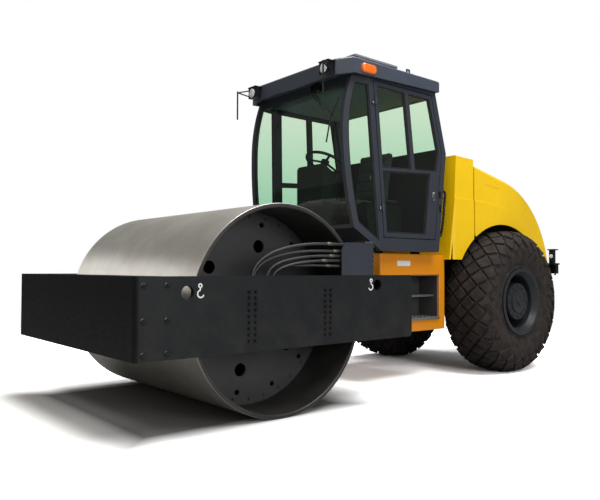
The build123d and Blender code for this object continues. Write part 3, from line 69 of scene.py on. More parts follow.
# ------------------------------------------------------------------ materials
class Graph:
    """A material's node tree, with short calls for the nodes used here."""

    def __init__(self, name):
        self.material = bpy.data.materials.new(name)
        self.material.use_nodes = True
        self.tree = self.material.node_tree
        self.tree.nodes.clear()
        self.out = self.tree.nodes.new("ShaderNodeOutputMaterial")
        self.place = self.add("TexCoord").outputs["Object"]

    def add(self, kind, sockets=None, **settings):
        node = self.tree.nodes.new("ShaderNode" + kind)
        for key, value in settings.items():
            setattr(node, key, value)
        for key, value in (sockets or {}).items():
            self.put(node.inputs[key], value)
        return node

    def put(self, socket, value):
        if isinstance(value, bpy.types.NodeSocket):
            self.tree.links.new(value, socket)
        else:
            socket.default_value = value

    def noise(self, scale, detail=4.0, rough=0.55, at=None):
        sockets = {"Vector": at or self.place, "Scale": scale, "Detail": detail, "Roughness": rough}
        return self.add("TexNoise", sockets).outputs["Fac"]

    def math(self, operation, a, b=0.0, clamp=False):
        node = self.add("Math", operation=operation, use_clamp=clamp)
        self.put(node.inputs[0], a)
        self.put(node.inputs[1], b)
        return node.outputs[0]

    def span(self, value, low, high, out_low=0.0, out_high=1.0):
        """value from low..high to out_low..out_high, held at both ends."""
        sockets = {"Value": value, "From Min": low, "From Max": high, "To Min": out_low, "To Max": out_high}
        return self.add("MapRange", sockets).outputs["Result"]

    def mix(self, factor, a, b, blend="MIX"):
        node = self.add("Mix", data_type="RGBA", blend_type=blend)
        self.put(node.inputs[0], factor)
        self.put(node.inputs[6], a)
        self.put(node.inputs[7], b)
        return node.outputs[2]

    def grey(self, value):
        return self.add("CombineColor", {"Red": value, "Green": value, "Blue": value}).outputs[0]

    def wave(self, scale, way, distortion=0.0):
        sockets = {"Vector": self.place, "Scale": scale, "Distortion": distortion}
        return self.add("TexWave", sockets, bands_direction=way).outputs["Fac"]

    def stretch(self, scale, at=None):
        node = self.add("Mapping", {"Vector": at or self.place, "Scale": scale})
        return node.outputs["Vector"]

    def bump(self, height, strength, distance):
        sockets = {"Height": height, "Strength": strength, "Distance": distance}
        return self.add("Bump", sockets).outputs["Normal"]

    def axis(self, name, at=None):
        return self.add("SeparateXYZ", {"Vector": at or self.place}).outputs[name]

    def facing_up(self):
        normal = self.add("NewGeometry").outputs["Normal"]
        return self.add("SeparateXYZ", {"Vector": normal}).outputs["Z"]

    def surface(self, **sockets):
        """Ends the tree in one Principled shader. Socket names take _ for a space."""
        shader = self.add("BsdfPrincipled")
        for key, value in sockets.items():
            self.put(shader.inputs[key.replace("_", " ")], value)
        return self.end(shader)

    def blend(self, factor, a, b):
        """Ends the tree in a mix of two shaders."""
        return self.end(self.add("MixShader", {0: factor, 1: a.outputs[0], 2: b.outputs[0]}))

    def end(self, shader):
        self.tree.links.new(shader.outputs[0], self.out.inputs["Surface"])
        return self.material


def rgb(red, green, blue):
    """Linear colour from the usual 0-255 numbers."""
    def linear(v):
        v /= 255
        return v / 12.92 if v <= 0.04045 else ((v + 0.055) / 1.055) ** 2.4
    return (linear(red), linear(green), linear(blue), 1)


def darker(colour, share):
    return tuple(c * share for c in colour[:3]) + (1,)


DUST = rgb(112, 104, 92)


def paint(name, colour, rough, dust=0.3, coat=0.0, gloss_level=0.5):
    """Enamel, a little uneven, with fine orange peel; dust gathers low down and on what faces up."""
    g = Graph(name)
    tone = g.span(g.noise(1.7, 3), 0.3, 0.7, 0.93, 1.05)
    base = g.mix(1.0, colour, g.grey(tone), "MULTIPLY")
    low = g.span(g.axis("Z"), 1.3, 0.3)
    patch = g.span(g.noise(6, 6, 0.65), 0.42, 0.72)
    up = g.span(g.facing_up(), 0.6, 1.0, 0.0, 0.6)
    amount = g.math("MULTIPLY", g.math("MULTIPLY", g.math("MAXIMUM", low, up), patch), dust)
    base = g.mix(amount, base, DUST)
    gloss = g.span(g.noise(35, 5), 0.3, 0.7, rough - 0.05, rough + 0.07)
    gloss = g.math("ADD", gloss, g.math("MULTIPLY", amount, 0.35), True)
    peel = g.bump(g.noise(420, 2), 0.05, 0.0006)
    return g.surface(Base_Color=base, Roughness=gloss, Normal=peel, Coat_Weight=coat, Coat_Roughness=0.12,
                     Specular_IOR_Level=gloss_level)


def plain_rubber(name, colour, dust, rough=0.75):
    """Matt rubber with dusty patches."""
    g = Graph(name)
    base = g.mix(g.span(g.noise(14, 5), 0.35, 0.7), colour, dust)
    return g.surface(Base_Color=base, Roughness=rough, Normal=g.bump(g.noise(260, 3), 0.2, 0.0008),
                     Specular_IOR_Level=0.3)


def steel(name, colour, rough):
    """Bare metal with a fine drawn grain."""
    g = Graph(name)
    fine = g.noise(60, 6, 0.6, g.stretch((1, 1, 6)))
    base = g.mix(g.span(fine, 0.35, 0.7), colour, darker(colour, 0.8))
    return g.surface(Base_Color=base, Metallic=1.0, Roughness=g.span(fine, 0.3, 0.7, rough, rough + 0.14),
                     Normal=g.bump(fine, 0.06, 0.001))


def drum_steel():
    """Rolled drum: worn bright round the outside with fine rings and stains, painted dark inside."""
    g = Graph("drum_steel")
    y = g.math("SUBTRACT", g.axis("Y"), DRUM.y)
    z = g.math("SUBTRACT", g.axis("Z"), DRUM.z)
    angle = g.math("ARCTAN2", z, y)
    radius = g.math("SQRT", g.math("ADD", g.math("MULTIPLY", y, y), g.math("MULTIPLY", z, z)))
    arc = g.math("MULTIPLY", angle, DRUM_R)
    rolled = g.add("CombineXYZ", {"X": g.axis("X"), "Y": arc, "Z": 0.0}).outputs[0]
    rings = g.noise(9, 8, 0.7, g.stretch((22, 0.35, 1), rolled))
    cloud = g.noise(2.2, 6, 0.6, rolled)
    spots = g.span(g.noise(26, 6, 0.7, rolled), 0.58, 0.75)
    bright = g.mix(g.span(cloud, 0.35, 0.7), rgb(206, 203, 195), rgb(182, 177, 166))
    bright = g.mix(g.math("MULTIPLY", g.span(rings, 0.5, 0.75), 0.35), bright, rgb(150, 144, 132))
    bright = g.mix(g.math("MULTIPLY", spots, 0.25), bright, rgb(140, 118, 96))
    outside = g.span(radius, DRUM_R - 0.004, DRUM_R - 0.0015)
    inner = g.mix(g.span(g.noise(5, 6, 0.65), 0.4, 0.7), rgb(40, 40, 40), rgb(58, 54, 50))
    base = g.mix(outside, inner, bright)
    rough = g.add("Mix", data_type="FLOAT")
    g.put(rough.inputs[0], outside)
    g.put(rough.inputs[2], 0.45)
    g.put(rough.inputs[3], g.span(rings, 0.3, 0.7, 0.3, 0.46))
    metal = g.math("MULTIPLY", outside, 0.75)
    return g.surface(Base_Color=base, Metallic=metal, Roughness=rough.outputs[0],
                     Normal=g.bump(rings, 0.08, 0.002))


def glass(name, low_tint, high_tint):
    """Thin tinted pane, greener low down, with a mirror that grows towards grazing."""
    g = Graph(name)
    tint = g.mix(g.span(g.axis("Z"), 1.6, 2.7), low_tint, high_tint)
    through = g.add("BsdfTransparent", {"Color": tint})
    mirror = g.add("BsdfGlossy", {"Color": (1, 1, 1, 1), "Roughness": 0.02})
    fresnel = g.add("Fresnel", {"IOR": 1.5}).outputs[0]
    outer = g.math("SUBTRACT", 1.0, g.add("NewGeometry").outputs["Backfacing"])
    return g.blend(g.math("MULTIPLY", fresnel, outer), through, mirror)


def cloth(name, colour):
    """Seat cover with a plain weave."""
    g = Graph(name)
    cross = g.math("MAXIMUM", g.wave(90, "X", 2.5), g.wave(90, "Z", 2.5))
    base = g.mix(g.span(g.noise(9, 4), 0.3, 0.7), colour, darker(colour, 0.7))
    return g.surface(Base_Color=base, Roughness=0.9, Normal=g.bump(cross, 0.08, 0.001), Sheen_Weight=0.1)


def lens(name, colour, glow):
    """Ribbed lamp lens, a little bright by itself."""
    g = Graph(name)
    ribs = g.wave(60, "Z")
    base = g.mix(g.span(ribs, 0.2, 0.8, 0.0, 0.4), colour, darker(colour, 0.6))
    return g.surface(Base_Color=base, Roughness=0.12, Normal=g.bump(ribs, 0.3, 0.002), Coat_Weight=1.0,
                     Emission_Color=colour, Emission_Strength=glow)


def braid(name, colour):
    """Hose cover with a fine diagonal weave."""
    g = Graph(name)
    tone = g.span(g.wave(130, "DIAGONAL", 1.0), 0.2, 0.8)
    base = g.mix(tone, colour, rgb(58, 58, 60))
    return g.surface(Base_Color=base, Roughness=0.38, Normal=g.bump(tone, 0.12, 0.0008))


FINISHES = {
    "drum_steel": drum_steel(),
    "black_paint": paint("black_paint", rgb(27, 29, 31), 0.42, 0.1, gloss_level=0.22),
    "black_gloss": paint("black_gloss", rgb(18, 19, 21), 0.25, 0.05, gloss_level=0.35),
    "machined_steel": steel("machined_steel", rgb(200, 200, 198), 0.14),
    "ferrule_steel": steel("ferrule_steel", rgb(112, 108, 100), 0.42),
    "buffer_rubber": plain_rubber("buffer_rubber", rgb(24, 24, 25), rgb(38, 37, 36)),
    "hose_rubber": braid("hose_rubber", rgb(26, 26, 28)),
    "cab_paint": paint("cab_paint", rgb(50, 54, 62), 0.36, 0.05, gloss_level=0.4),
    "hatch_plastic": paint("hatch_plastic", rgb(122, 124, 128), 0.55, 0.1),
    # Black paint made darker and less glossy: painted shade on the front beam.
    "black_paint_painted_shade": paint("black_paint_painted_shade", rgb(17, 18, 20), 0.5, 0.06, gloss_level=0.12),
    "roof_paint": paint("roof_paint", rgb(66, 73, 84), 0.36, 0.05, gloss_level=0.4),
    # Black paint made lighter: painted light for the drum's end discs, supports and bolts in its shaded
    # cavity, and for the step wells' sheets.
    "black_paint_painted_light": paint("black_paint_painted_light", rgb(62, 63, 63), 0.5, 0.1),
    "yellow_paint": paint("yellow_paint", rgb(252, 205, 4), 0.3, 0.03, 0.3),
    # Yellow paint made darker and more orange: painted shade on the side boxes under the cab.
    "yellow_paint_painted_shade": paint("yellow_paint_painted_shade", rgb(226, 140, 6), 0.35, 0.08, 0.1),
    "tread_plate": steel("tread_plate", rgb(176, 176, 172), 0.36),
    "tyre_rubber": plain_rubber("tyre_rubber", rgb(33, 30, 29), rgb(58, 50, 46), 0.85),
    "rim_paint": paint("rim_paint", rgb(38, 41, 45), 0.42, 0.1, gloss_level=0.35),
    "tinted_glass": glass("tinted_glass", rgb(224, 242, 231), rgb(243, 250, 242)),
    "amber_lens": lens("amber_lens", rgb(238, 110, 20), 0.25),
    "lamp_lens": lens("lamp_lens", rgb(214, 220, 222), 0.1),
    "red_lens": lens("red_lens", rgb(170, 22, 18), 0.1),
    "white_mark": paint("white_mark", rgb(226, 228, 228), 0.4, 0.05),
    "dark_plastic": paint("dark_plastic", rgb(26, 27, 28), 0.6, 0.02, gloss_level=0.25),
    "headliner": paint("headliner", rgb(104, 120, 130), 0.8, 0.0, gloss_level=0.1),
    "seat_fabric": cloth("seat_fabric", rgb(50, 54, 60)),
}
NODE_FINISH = {               # CAD nodes with another finish than their slot's
    # The drum's discs and supports take black paint made lighter: painted light for the drum's shaded
    # cavity.
    # The front beam takes black paint made darker: painted shade on its front face.
    "drum_discs": "black_paint_painted_light", "drum_supports": "black_paint_painted_light", "front_beam": "black_paint_painted_shade",
    # The side boxes take yellow paint made darker and more orange: painted shade under the cab.
    "side_box_left": "yellow_paint_painted_shade", "side_box_right": "yellow_paint_painted_shade", "cab_roof": "roof_paint",
}

for row in frame["record"]["subparts"]:
    node = NODES[row["node"]]
    node.data.materials.clear()
    node.data.materials.append(FINISHES[NODE_FINISH.get(row["node"], row["material_slot"])])


# ------------------------------------------------------------------ mesh pieces
def circle(centre, u, v, radius, count, first=0.0):
    """Points round centre in the plane of u and v; first is the start, in steps."""
    turns = (math.tau * (k + first) / count for k in range(count))
    return [centre + (u * math.cos(a) + v * math.sin(a)) * radius for a in turns]


class Shape:
    """Collects lofted solids and becomes one object."""

    def __init__(self):
        self.points, self.faces = [], []

    def loft(self, rings, closed=False):
        """Skin between rings of equal length; the ends are capped unless the rings close on themselves."""
        start, n = len(self.points), len(rings[0])
        self.points += [Vector(p) for ring in rings for p in ring]
        last = len(rings) if closed else len(rings) - 1
        for i in range(last):
            a, b = start + i * n, start + (i + 1) % len(rings) * n
            self.faces += [(a + k, a + (k + 1) % n, b + (k + 1) % n, b + k) for k in range(n)]
        if not closed:
            self.faces += [tuple(range(start + n - 1, start - 1, -1))]
            self.faces += [tuple(range(start + last * n, start + (last + 1) * n))]
        return self

    def turned(self, at, along, steps, sides=24):
        """Solid turned about an axis from at; steps are (distance along it, radius)."""
        at, along = Vector(at), Vector(along).normalized()
        u = along.orthogonal().normalized()
        v = along.cross(u)
        return self.loft([circle(at + along * d, u, v, r, sides) for d, r in steps])

    def box(self, low, high, edge=0.002):
        """Box with chamfered edges all round."""
        (x0, y0, z0), (x1, y1, z1) = low, high
        rings = []
        for z, inset in ((z0, edge), (z0 + edge, 0), (z1 - edge, 0), (z1, edge)):
            a, b, c, d = x0 + inset, x1 - inset, y0 + inset, y1 - inset
            rings.append([(a + edge, c, z), (b - edge, c, z), (b, c + edge, z), (b, d - edge, z),
                          (b - edge, d, z), (a + edge, d, z), (a, d - edge, z), (a, c + edge, z)])
        return self.loft(rings)

    def side_box(self, side, low, high, edge):
        """Box given for the left side (+1), drawn there or mirrored to the right (-1)."""
        x0, x1 = sorted((side * low[0], side * high[0]))
        return self.box((x0, *low[1:]), (x1, *high[1:]), edge)

    def slab(self, outline, x0, x1):
        """Side profile of (y, z) points between two planes across the machine."""
        return self.loft([[(x, y, z) for y, z in outline] for x in (x0, x1)])

    def tube(self, route, r, sides=10):
        """Tube along points, each corner mitred."""
        route = [Vector(p) for p in route]
        ways = [(b - a).normalized() for a, b in zip(route, route[1:])]
        u = ways[0].orthogonal().normalized()
        rings = []
        for i, p in enumerate(route):
            way = (ways[max(i - 1, 0)] + ways[min(i, len(ways) - 1)]).normalized()
            u = (u - way * u.dot(way)).normalized()
            v = way.cross(u)
            rings.append(circle(p, u, v, r, sides))
        return self.loft(rings)

    def bolt(self, at, along, width=0.030):
        """Hexagon head with its washer; width is across the flats."""
        r = width / math.sqrt(3)
        self.turned(at, along, [(-0.001, r * 1.3), (0.0025, r * 1.3), (0.003, r * 1.25)], 20)
        return self.turned(at, along, [(0.002, r), (0.010, r), (0.013, r * 0.82)], 6)

    def bolt_ring(self, centre, along, radius, count, width, first=0.0):
        """Even ring of bolts that point along one of the axes."""
        u, v = (axis for axis, part in zip(Matrix.Identity(3), along) if not part)
        for spot in circle(Vector(centre), u, v, radius, count, first):
            self.bolt(spot, along, width)

    def piece(self, name, finish, body, angle=35):
        """One object with a finish that rides on a body; edges sharper than angle stay sharp."""
        mesh = bpy.data.meshes.new(name)
        mesh.from_pydata(self.points, [], self.faces)
        mesh.validate()
        form = bmesh.new()
        form.from_mesh(mesh)
        bmesh.ops.recalc_face_normals(form, faces=form.faces)
        form.to_mesh(mesh)
        form.free()
        mesh.shade_smooth()
        mesh.set_sharp_from_angle(angle=math.radians(angle))
        obj = bpy.data.objects.new(name, mesh)
        bpy.context.scene.collection.objects.link(obj)
        return dress(obj, finish, body)


def dress(obj, finish, body):
    """Gives an object its finish and body."""
    obj.data.materials.clear()
    obj.data.materials.append(FINISHES[finish])
    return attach(obj, body)


def both_sides(draw):
    """Draws for the left (+1) and the right (-1) into one shape."""
    shape = Shape()
    for side in (1, -1):
        draw(shape, side)
    return shape


# ------------------------------------------------------------------ drum and its frame
PLATE_IN, PLATE_X = (corner.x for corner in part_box("side_plate_left"))
BUFFER_L = 0.062                           # from a side plate to its cradle plate
BEAM_BOLTS = [(y, z) for y in (-1.17, -1.005) for z in (1.0, 0.777, 0.565)]   # behind the drum axle, z
COLUMNS, COLUMN_HALF = (-0.34, 0.38), 0.028     # double bolt columns behind the axle, half their spread
COLUMN_LOW, COLUMN_STEP, COLUMN_COUNT = 0.604, 0.043, 9
MARK_HALF, MARK_LIFT = 0.005, 0.0006       # half the stroke's width, and its stand off the plate
EYE_R, EYE_Z, EYE_START = 0.012, 0.040, -1.571
HOOK_R = 0.024


def plate_bolts(shape, side):
    """Front beam's bolts and two double columns of smaller ones on a side plate."""
    spots = [(y, z, 0.030) for y, z in BEAM_BOLTS]
    spots += [(y + dy, COLUMN_LOW + COLUMN_STEP * i, 0.020)
              for y in COLUMNS for dy in (-COLUMN_HALF, COLUMN_HALF) for i in range(COLUMN_COUNT)]
    for y, z, width in spots:
        shape.bolt((side * PLATE_X, DRUM.y + y, z), (side, 0, 0), width)


def hook_mark(shape, side, y, z, way):
    """Painted crane hook beside a lifting hole: eye, shank and hook as one flat stroke."""
    eye = (math.tau * k / 12 + EYE_START for k in range(12))
    bend = (0.2 + 0.3 * k for k in range(15))
    stroke = [(EYE_R * math.cos(a), EYE_Z + EYE_R * math.sin(a)) for a in eye]
    stroke += [(0.0, 0.026), (0.0, 0.012)]
    stroke += [(-0.004 + HOOK_R * math.sin(a), -0.014 + HOOK_R * math.cos(a)) for a in bend]
    x = side * (PLATE_X + MARK_LIFT)
    rings = []
    for i, (a, b) in enumerate(stroke):
        p, q = stroke[max(i - 1, 0)], stroke[min(i + 1, len(stroke) - 1)]
        t = Vector((q[0] - p[0], q[1] - p[1])).normalized() * MARK_HALF
        edges = (a - t.y, b + t.x), (a + t.y, b - t.x)
        back, front = ([(x + side * dx, y + way * u, z + v) for u, v in edges] for dx in (-0.001, 0.0))
        rings.append(back + front[::-1])
    shape.loft(rings)


def hook_marks(shape, side):
    hook_mark(shape, side, DRUM.y - 0.765, 0.955, -1)
    hook_mark(shape, side, DRUM.y + 0.862, 0.975, 1)


def disc_bolts(shape, side):
    """Bolts round the hub and near the rim of one recessed end disc."""
    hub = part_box("drum_discs")[1].x
    for x, radius, count, width in ((hub, 0.212, 16, 0.024), (hub - 0.035, 0.725, 30, 0.020)):
        shape.bolt_ring((side * x, DRUM.y, DRUM.z), (side, 0, 0), radius, count, width, 0.5)


def cradle_bolts(shape, side):
    """Bolts round the motor on one cradle plate."""
    shape.bolt_ring((side * (PLATE_IN - BUFFER_L), DRUM.y, DRUM.z), (side, 0, 0), 0.138, 12, 0.022)


def buffer_plates(shape, side):
    """Round steel end plates of the rubber buffers."""
    disc = [(0, 0.064), (0.0052, 0.065)]
    for y in (-0.3, 0.3):
        for z in (-0.095, 0.095):
            for x in (PLATE_IN - 0.0055, PLATE_IN - BUFFER_L - 0.0005):
                shape.turned((side * x, DRUM.y + y, DRUM.z + z), (side, 0, 0), disc, 32)


def pin_bolts(shape):
    """Bolt circles of the two steering pins' cap plates."""
    low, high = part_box("hitch_pins")
    for z, way in ((low.z, -1), (high.z, 1)):
        shape.bolt_ring((0, HITCH_Y, z), (0, 0, way), 0.055, 6, 0.016)


def bearing_bolts(shape):
    """Ring of bolts on the oscillation bearing's flange."""
    shape.bolt_ring((0, HITCH_Y - 0.255, HITCH_Z), (0, -1, 0), 0.178, 12, 0.020, 0.5)


# ------------------------------------------------------------------ drum hoses
HOSE_R = 0.012
HOSES = (                     # x, behind the drum axle, z; from motor port to manifold
    ((0.985, -0.250, 0.975), (0.985, -0.250, 1.060), (0.990, -0.205, 1.150), (1.010, -0.100, 1.225),
     (1.038, 0.050, 1.275), (1.068, 0.220, 1.300), (1.090, 0.400, 1.306), (1.094, 0.570, 1.303),
     (1.093, 0.740, 1.300), (1.090, 0.880, 1.302), (1.054, 0.975, 1.300), (0.964, 1.024, 1.300),
     (0.879, 1.024, 1.300)),
    ((0.940, -0.205, 0.975), (0.940, -0.205, 1.045), (0.948, -0.165, 1.125), (0.968, -0.070, 1.185),
     (1.000, 0.070, 1.225), (1.040, 0.220, 1.246), (1.078, 0.385, 1.250), (1.094, 0.560, 1.248),
     (1.093, 0.740, 1.246), (1.090, 0.880, 1.248), (1.054, 0.975, 1.246), (0.964, 1.024, 1.246),
     (0.879, 1.024, 1.246)),
    ((0.985, -0.120, 0.975), (0.985, -0.120, 1.040), (0.990, -0.080, 1.115), (1.008, 0.000, 1.160),
     (1.030, 0.130, 1.190), (1.060, 0.280, 1.208), (1.088, 0.430, 1.211), (1.094, 0.580, 1.209),
     (1.093, 0.740, 1.208), (1.090, 0.880, 1.210), (1.054, 0.975, 1.208), (0.964, 1.024, 1.208),
     (0.879, 1.024, 1.208)),
    ((0.985, -0.060, 0.975), (0.985, -0.060, 1.041), (0.992, -0.025, 1.096), (1.014, 0.050, 1.130),
     (1.040, 0.160, 1.156), (1.068, 0.300, 1.170), (1.090, 0.440, 1.174), (1.094, 0.590, 1.173),
     (1.093, 0.740, 1.172), (1.090, 0.880, 1.174), (1.054, 0.975, 1.172), (0.964, 1.024, 1.172),
     (0.879, 1.024, 1.172)),
    ((0.925, -0.020, 0.975), (0.925, -0.020, 1.036), (0.933, 0.009, 1.088), (0.951, 0.076, 1.128),
     (0.985, 0.200, 1.131), (1.025, 0.320, 1.136), (1.067, 0.440, 1.134), (1.094, 0.575, 1.129),
     (1.093, 0.740, 1.128), (1.090, 0.880, 1.130), (1.054, 0.975, 1.128), (0.964, 1.024, 1.128),
     (0.879, 1.024, 1.128)),
)
HOSE_LENGTHS = (1.587, 1.520, 1.411, 1.334, 1.301)
COLLARS = (0.42, 0.50, 0.46, 0.38, 0.44)       # light sleeve on each hose, behind the drum axle


def line_of(curve):
    """Points along a curve without its thickness."""
    depth, curve.data.bevel_depth = curve.data.bevel_depth, 0.0
    bpy.context.view_layer.update()
    shown = curve.evaluated_get(bpy.context.evaluated_depsgraph_get())
    points = [v.co.copy() for v in shown.to_mesh().vertices]
    shown.to_mesh_clear()
    curve.data.bevel_depth = depth
    return points


def hose(number, route, collar_y):
    """One hose with its ferrules, end nuts and sleeve."""
    data = bpy.data.curves.new(f"hose_{number}", "CURVE")
    data.dimensions = "3D"
    data.bevel_depth, data.bevel_resolution, data.resolution_u = 1.0, 4, 8
    spline = data.splines.new("NURBS")
    spline.points.add(len(route) - 1)
    for point, (x, y, z) in zip(spline.points, route):
        point.co = (x, DRUM.y + y, z, 1)
        point.radius = HOSE_R
    spline.order_u = 3
    spline.use_endpoint_u = True
    curve = bpy.data.objects.new(f"hose_{number}", data)
    bpy.context.scene.collection.objects.link(curve)
    dress(curve, "hose_rubber", "drum_frame")
    line = line_of(curve)
    fittings = Shape()
    for end, near in ((line[0], line[1]), (line[-1], line[-2])):
        way = (near - end).normalized()
        fittings.turned(end, way, [(0, 0.0155), (0.004, 0.0165), (0.036, 0.0165), (0.040, 0.0135)], 20)
        fittings.turned(end, way, [(-0.012, 0.0195), (-0.001, 0.0195), (0.0, 0.0175)], 6)
    spot = min(range(1, len(line) - 1), key=lambda i: abs(line[i].y - DRUM.y - collar_y))
    way = (line[spot + 1] - line[spot - 1]).normalized()
    sleeve = [(0, 0.0128), (0.002, 0.0142), (0.054, 0.0142), (0.056, 0.0128)]
    fittings.turned(line[spot] - way * 0.028, way, sleeve, 20)
    ferrules = fittings.piece(f"hose_fittings_{number}", "ferrule_steel", "drum_frame")
    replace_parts(curve, f"drum_hose_{number}")
    x, y, z = route[0]


# ------------------------------------------------------------------ wheels
TYRE_R, TREAD_H = 0.765, 0.024
TYRE_SIDES = 144
BLOCKS, ROW = 26, 0.092                    # blocks in a row, and the rows' pitch along the profile
PITCH = math.tau / BLOCKS
BLOCK_ROWS = (                # from the middle row out: share of TREAD_H, half diagonal
    (1.0, 0.080), (1.0, 0.080), (1.0, 0.080), (0.85, 0.080), (0.35, 0.062),
)
WHEEL_FACE, HUB_FACE = 0.664, 1.0          # across the machine: wheel disc and planetary hub
TYRE_LINE = (                 # half section: distance from the middle plane, radius
    (0.0, 0.741), (0.08, 0.740), (0.15, 0.734), (0.205, 0.715), (0.244, 0.674), (0.264, 0.616),
    (0.273, 0.556), (0.271, 0.505), (0.262, 0.455), (0.248, 0.415), (0.238, 0.388), (0.246, 0.376),
    (0.246, 0.364), (0.236, 0.352), (0.215, 0.340),
)


def between(a, b, c, d, t):
    """Catmull-Rom value at t on the way from b to c."""
    curve = (c - a) * t + (2 * a - 5 * b + 4 * c - d) * t * t + (3 * b - a - 3 * c + d) * t ** 3
    return 0.5 * (2 * b + curve)


def smooth_line(points, steps):
    """Smooth line through (a, b) points."""
    ends = [points[0], *points, points[-1]]
    line = []
    for four in zip(ends, ends[1:], ends[2:], ends[3:]):
        line += [tuple(between(*values, k / steps) for values in zip(*four)) for k in range(steps)]
    return line + [points[-1]]


def tyre(side, name, node, body):
    """Carcass with a lattice of diamond blocks that runs over its shoulders."""
    half = smooth_line(TYRE_LINE, 3)
    full = [(-x, r) for x, r in reversed(half[1:])] + half
    travel = [0.0]
    for (x0, r0), (x1, r1) in zip(half, half[1:]):
        travel.append(travel[-1] + math.hypot(x1 - x0, r1 - r0))
    centre = Vector((side * TYRE.x, TYRE.y, TYRE.z))

    def place(x, r, a):
        return centre + Vector((x, r * math.sin(a), r * math.cos(a)))

    def on_profile(t):
        """Point and outward normal at a distance t from the middle along the profile."""
        s = min(abs(t), travel[-1] - 1e-6)
        i = next(i for i in range(len(travel) - 1) if travel[i + 1] > s)
        (x0, r0), (x1, r1) = half[i], half[i + 1]
        f = (s - travel[i]) / (travel[i + 1] - travel[i])
        dx, dr = (x1 - x0) / (travel[i + 1] - travel[i]), (r1 - r0) / (travel[i + 1] - travel[i])
        sign = 1 if t >= 0 else -1
        return (sign * (x0 + (x1 - x0) * f), r0 + (r1 - r0) * f), (sign * -dr, dx)

    shape = Shape()
    turns = [math.tau * k / TYRE_SIDES for k in range(TYRE_SIDES)]
    shape.loft([[place(x, r, a) for a in turns] for x, r in full], closed=True)
    corner = [(1, 0.0), (0.86, 0.14), (0.14, 0.86), (0.0, 1)]
    quarters = ((1, 1, corner), (-1, 1, corner[::-1]), (-1, -1, corner), (1, -1, corner[::-1]))
    diamond = [(c * sx, s * sy) for sx, sy, points in quarters for c, s in points[:3]]
    for row in range(1 - len(BLOCK_ROWS), len(BLOCK_ROWS)):
        share, reach = BLOCK_ROWS[abs(row)]
        height = TREAD_H * share
        levels = ((-0.004, 0.0), (height * 0.45, 0.003), (height * 0.86, 0.005), (height, 0.009))
        for k in range(BLOCKS):
            a0 = (k + 0.5 * (row % 2)) * PITCH
            rings = []
            for lift, inset in levels:
                ring = []
                for u, v in diamond:
                    (x, r), (nx, nr) = on_profile(row * ROW + v * (reach - inset))
                    ring.append(place(x + nx * lift, r + nr * lift, a0 + u * (reach - inset) / TYRE_R))
                rings.append(ring)
            shape.loft(rings)
    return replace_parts(shape.piece(name, "tyre_rubber", body, 50), node)


def wheel_bolts(shape, side):
    """Nuts of the wheel disc, and bolts and plug of the planetary hub's cover."""
    way = (side, 0, 0)
    for x, radius, width in ((WHEEL_FACE, 0.262, 0.032), (HUB_FACE, 0.165, 0.022)):
        shape.bolt_ring((side * x, TYRE.y, TYRE.z), way, radius, 12, width)
    cover = [(-0.001, 0.125), (0.012, 0.122), (0.018, 0.105), (0.020, 0.045), (0.034, 0.040), (0.036, 0.030)]
    shape.turned((side * HUB_FACE, TYRE.y, TYRE.z), way, cover, 32)


# ------------------------------------------------------------------ cab
LEAN = math.radians(2.5)                   # of the cab's sides, inwards
CAB_LOW, CAB_HEIGHT, CAB_HALF = 1.280, 1.620, 0.800
SEAL_IN, SEAL_OUT, SEAL_H = 0.014, 0.004, 0.004     # lap on the pane, on the frame, height


def side_x(z, out=0.0):
    """Half width of the cab's side plane at height z, plus a distance outwards."""
    return CAB_HALF - (z - CAB_LOW) * math.tan(LEAN) + out


def pane_loops(node, way):
    """Ordered outline of each pane of a glass node, seen from the side that way points to."""
    form = bmesh.new()
    form.from_mesh(NODES[node].data)
    bmesh.ops.remove_doubles(form, verts=form.verts, dist=1e-5)
    faces = [f for f in form.faces if f.normal.dot(way) > 0.35]
    loops = (loop for f in faces for loop in f.loops)
    edges = dict.fromkeys((loop.vert.index, loop.link_loop_next.vert.index) for loop in loops)
    border = {a: b for a, b in edges if (b, a) not in edges}
    form.verts.ensure_lookup_table()
    outlines = []
    while border:
        spot, ring = next(iter(border)), []
        while spot in border:
            ring.append(form.verts[spot].co.copy())
            spot = border.pop(spot)
        outlines.append(ring)
    form.free()
    return outlines


def gasket(shape, ring, way):
    """Rubber section round a pane, lying on the glass and lapping over its frame."""
    ring = [p for i, p in enumerate(ring) if (p - ring[i - 1]).length > 0.004]
    rings = []
    for i, p in enumerate(ring):
        before, after = (p - ring[i - 1]).normalized(), (ring[(i + 1) % len(ring)] - p).normalized()
        along = (before + after).normalized()
        inwards = way.cross(along).normalized()
        reach = 1 / max(inwards.dot(way.cross(before).normalized()), 0.35)
        low, high = p - way * 0.003, p + way * SEAL_H
        a, b = inwards * SEAL_IN * reach, inwards * -SEAL_OUT * reach
        rings.append([low + a, p + a + way * SEAL_H * 0.5, high + a * 0.6, high + b * 0.6, low + b])
    shape.loft(rings, closed=True)


def side_gaskets(node, body, name, side):
    """Seals of one door's panes."""
    way = Vector((side * math.cos(LEAN), 0, math.sin(LEAN)))
    shape = Shape()
    for ring in pane_loops(node, way):
        gasket(shape, ring, way)
    shape.piece(name, "buffer_rubber", body)


def quarter_gaskets():
    """Seals of the two flat panes beside the windscreen."""
    shape = Shape()
    for side in (1, -1):
        way = Vector((side, -0.35, 0.05)).normalized()
        for ring in pane_loops("quarter_glass", way):
            flat = sum(((a - ring[0]).cross(b - ring[0]) for a, b in zip(ring[1:], ring[2:])), Vector())
            normal = flat.normalized() if flat.dot(way) > 0 else -flat.normalized()
            gasket(shape, ring, normal)
    shape.piece("quarter_gaskets", "buffer_rubber", "rear_frame")


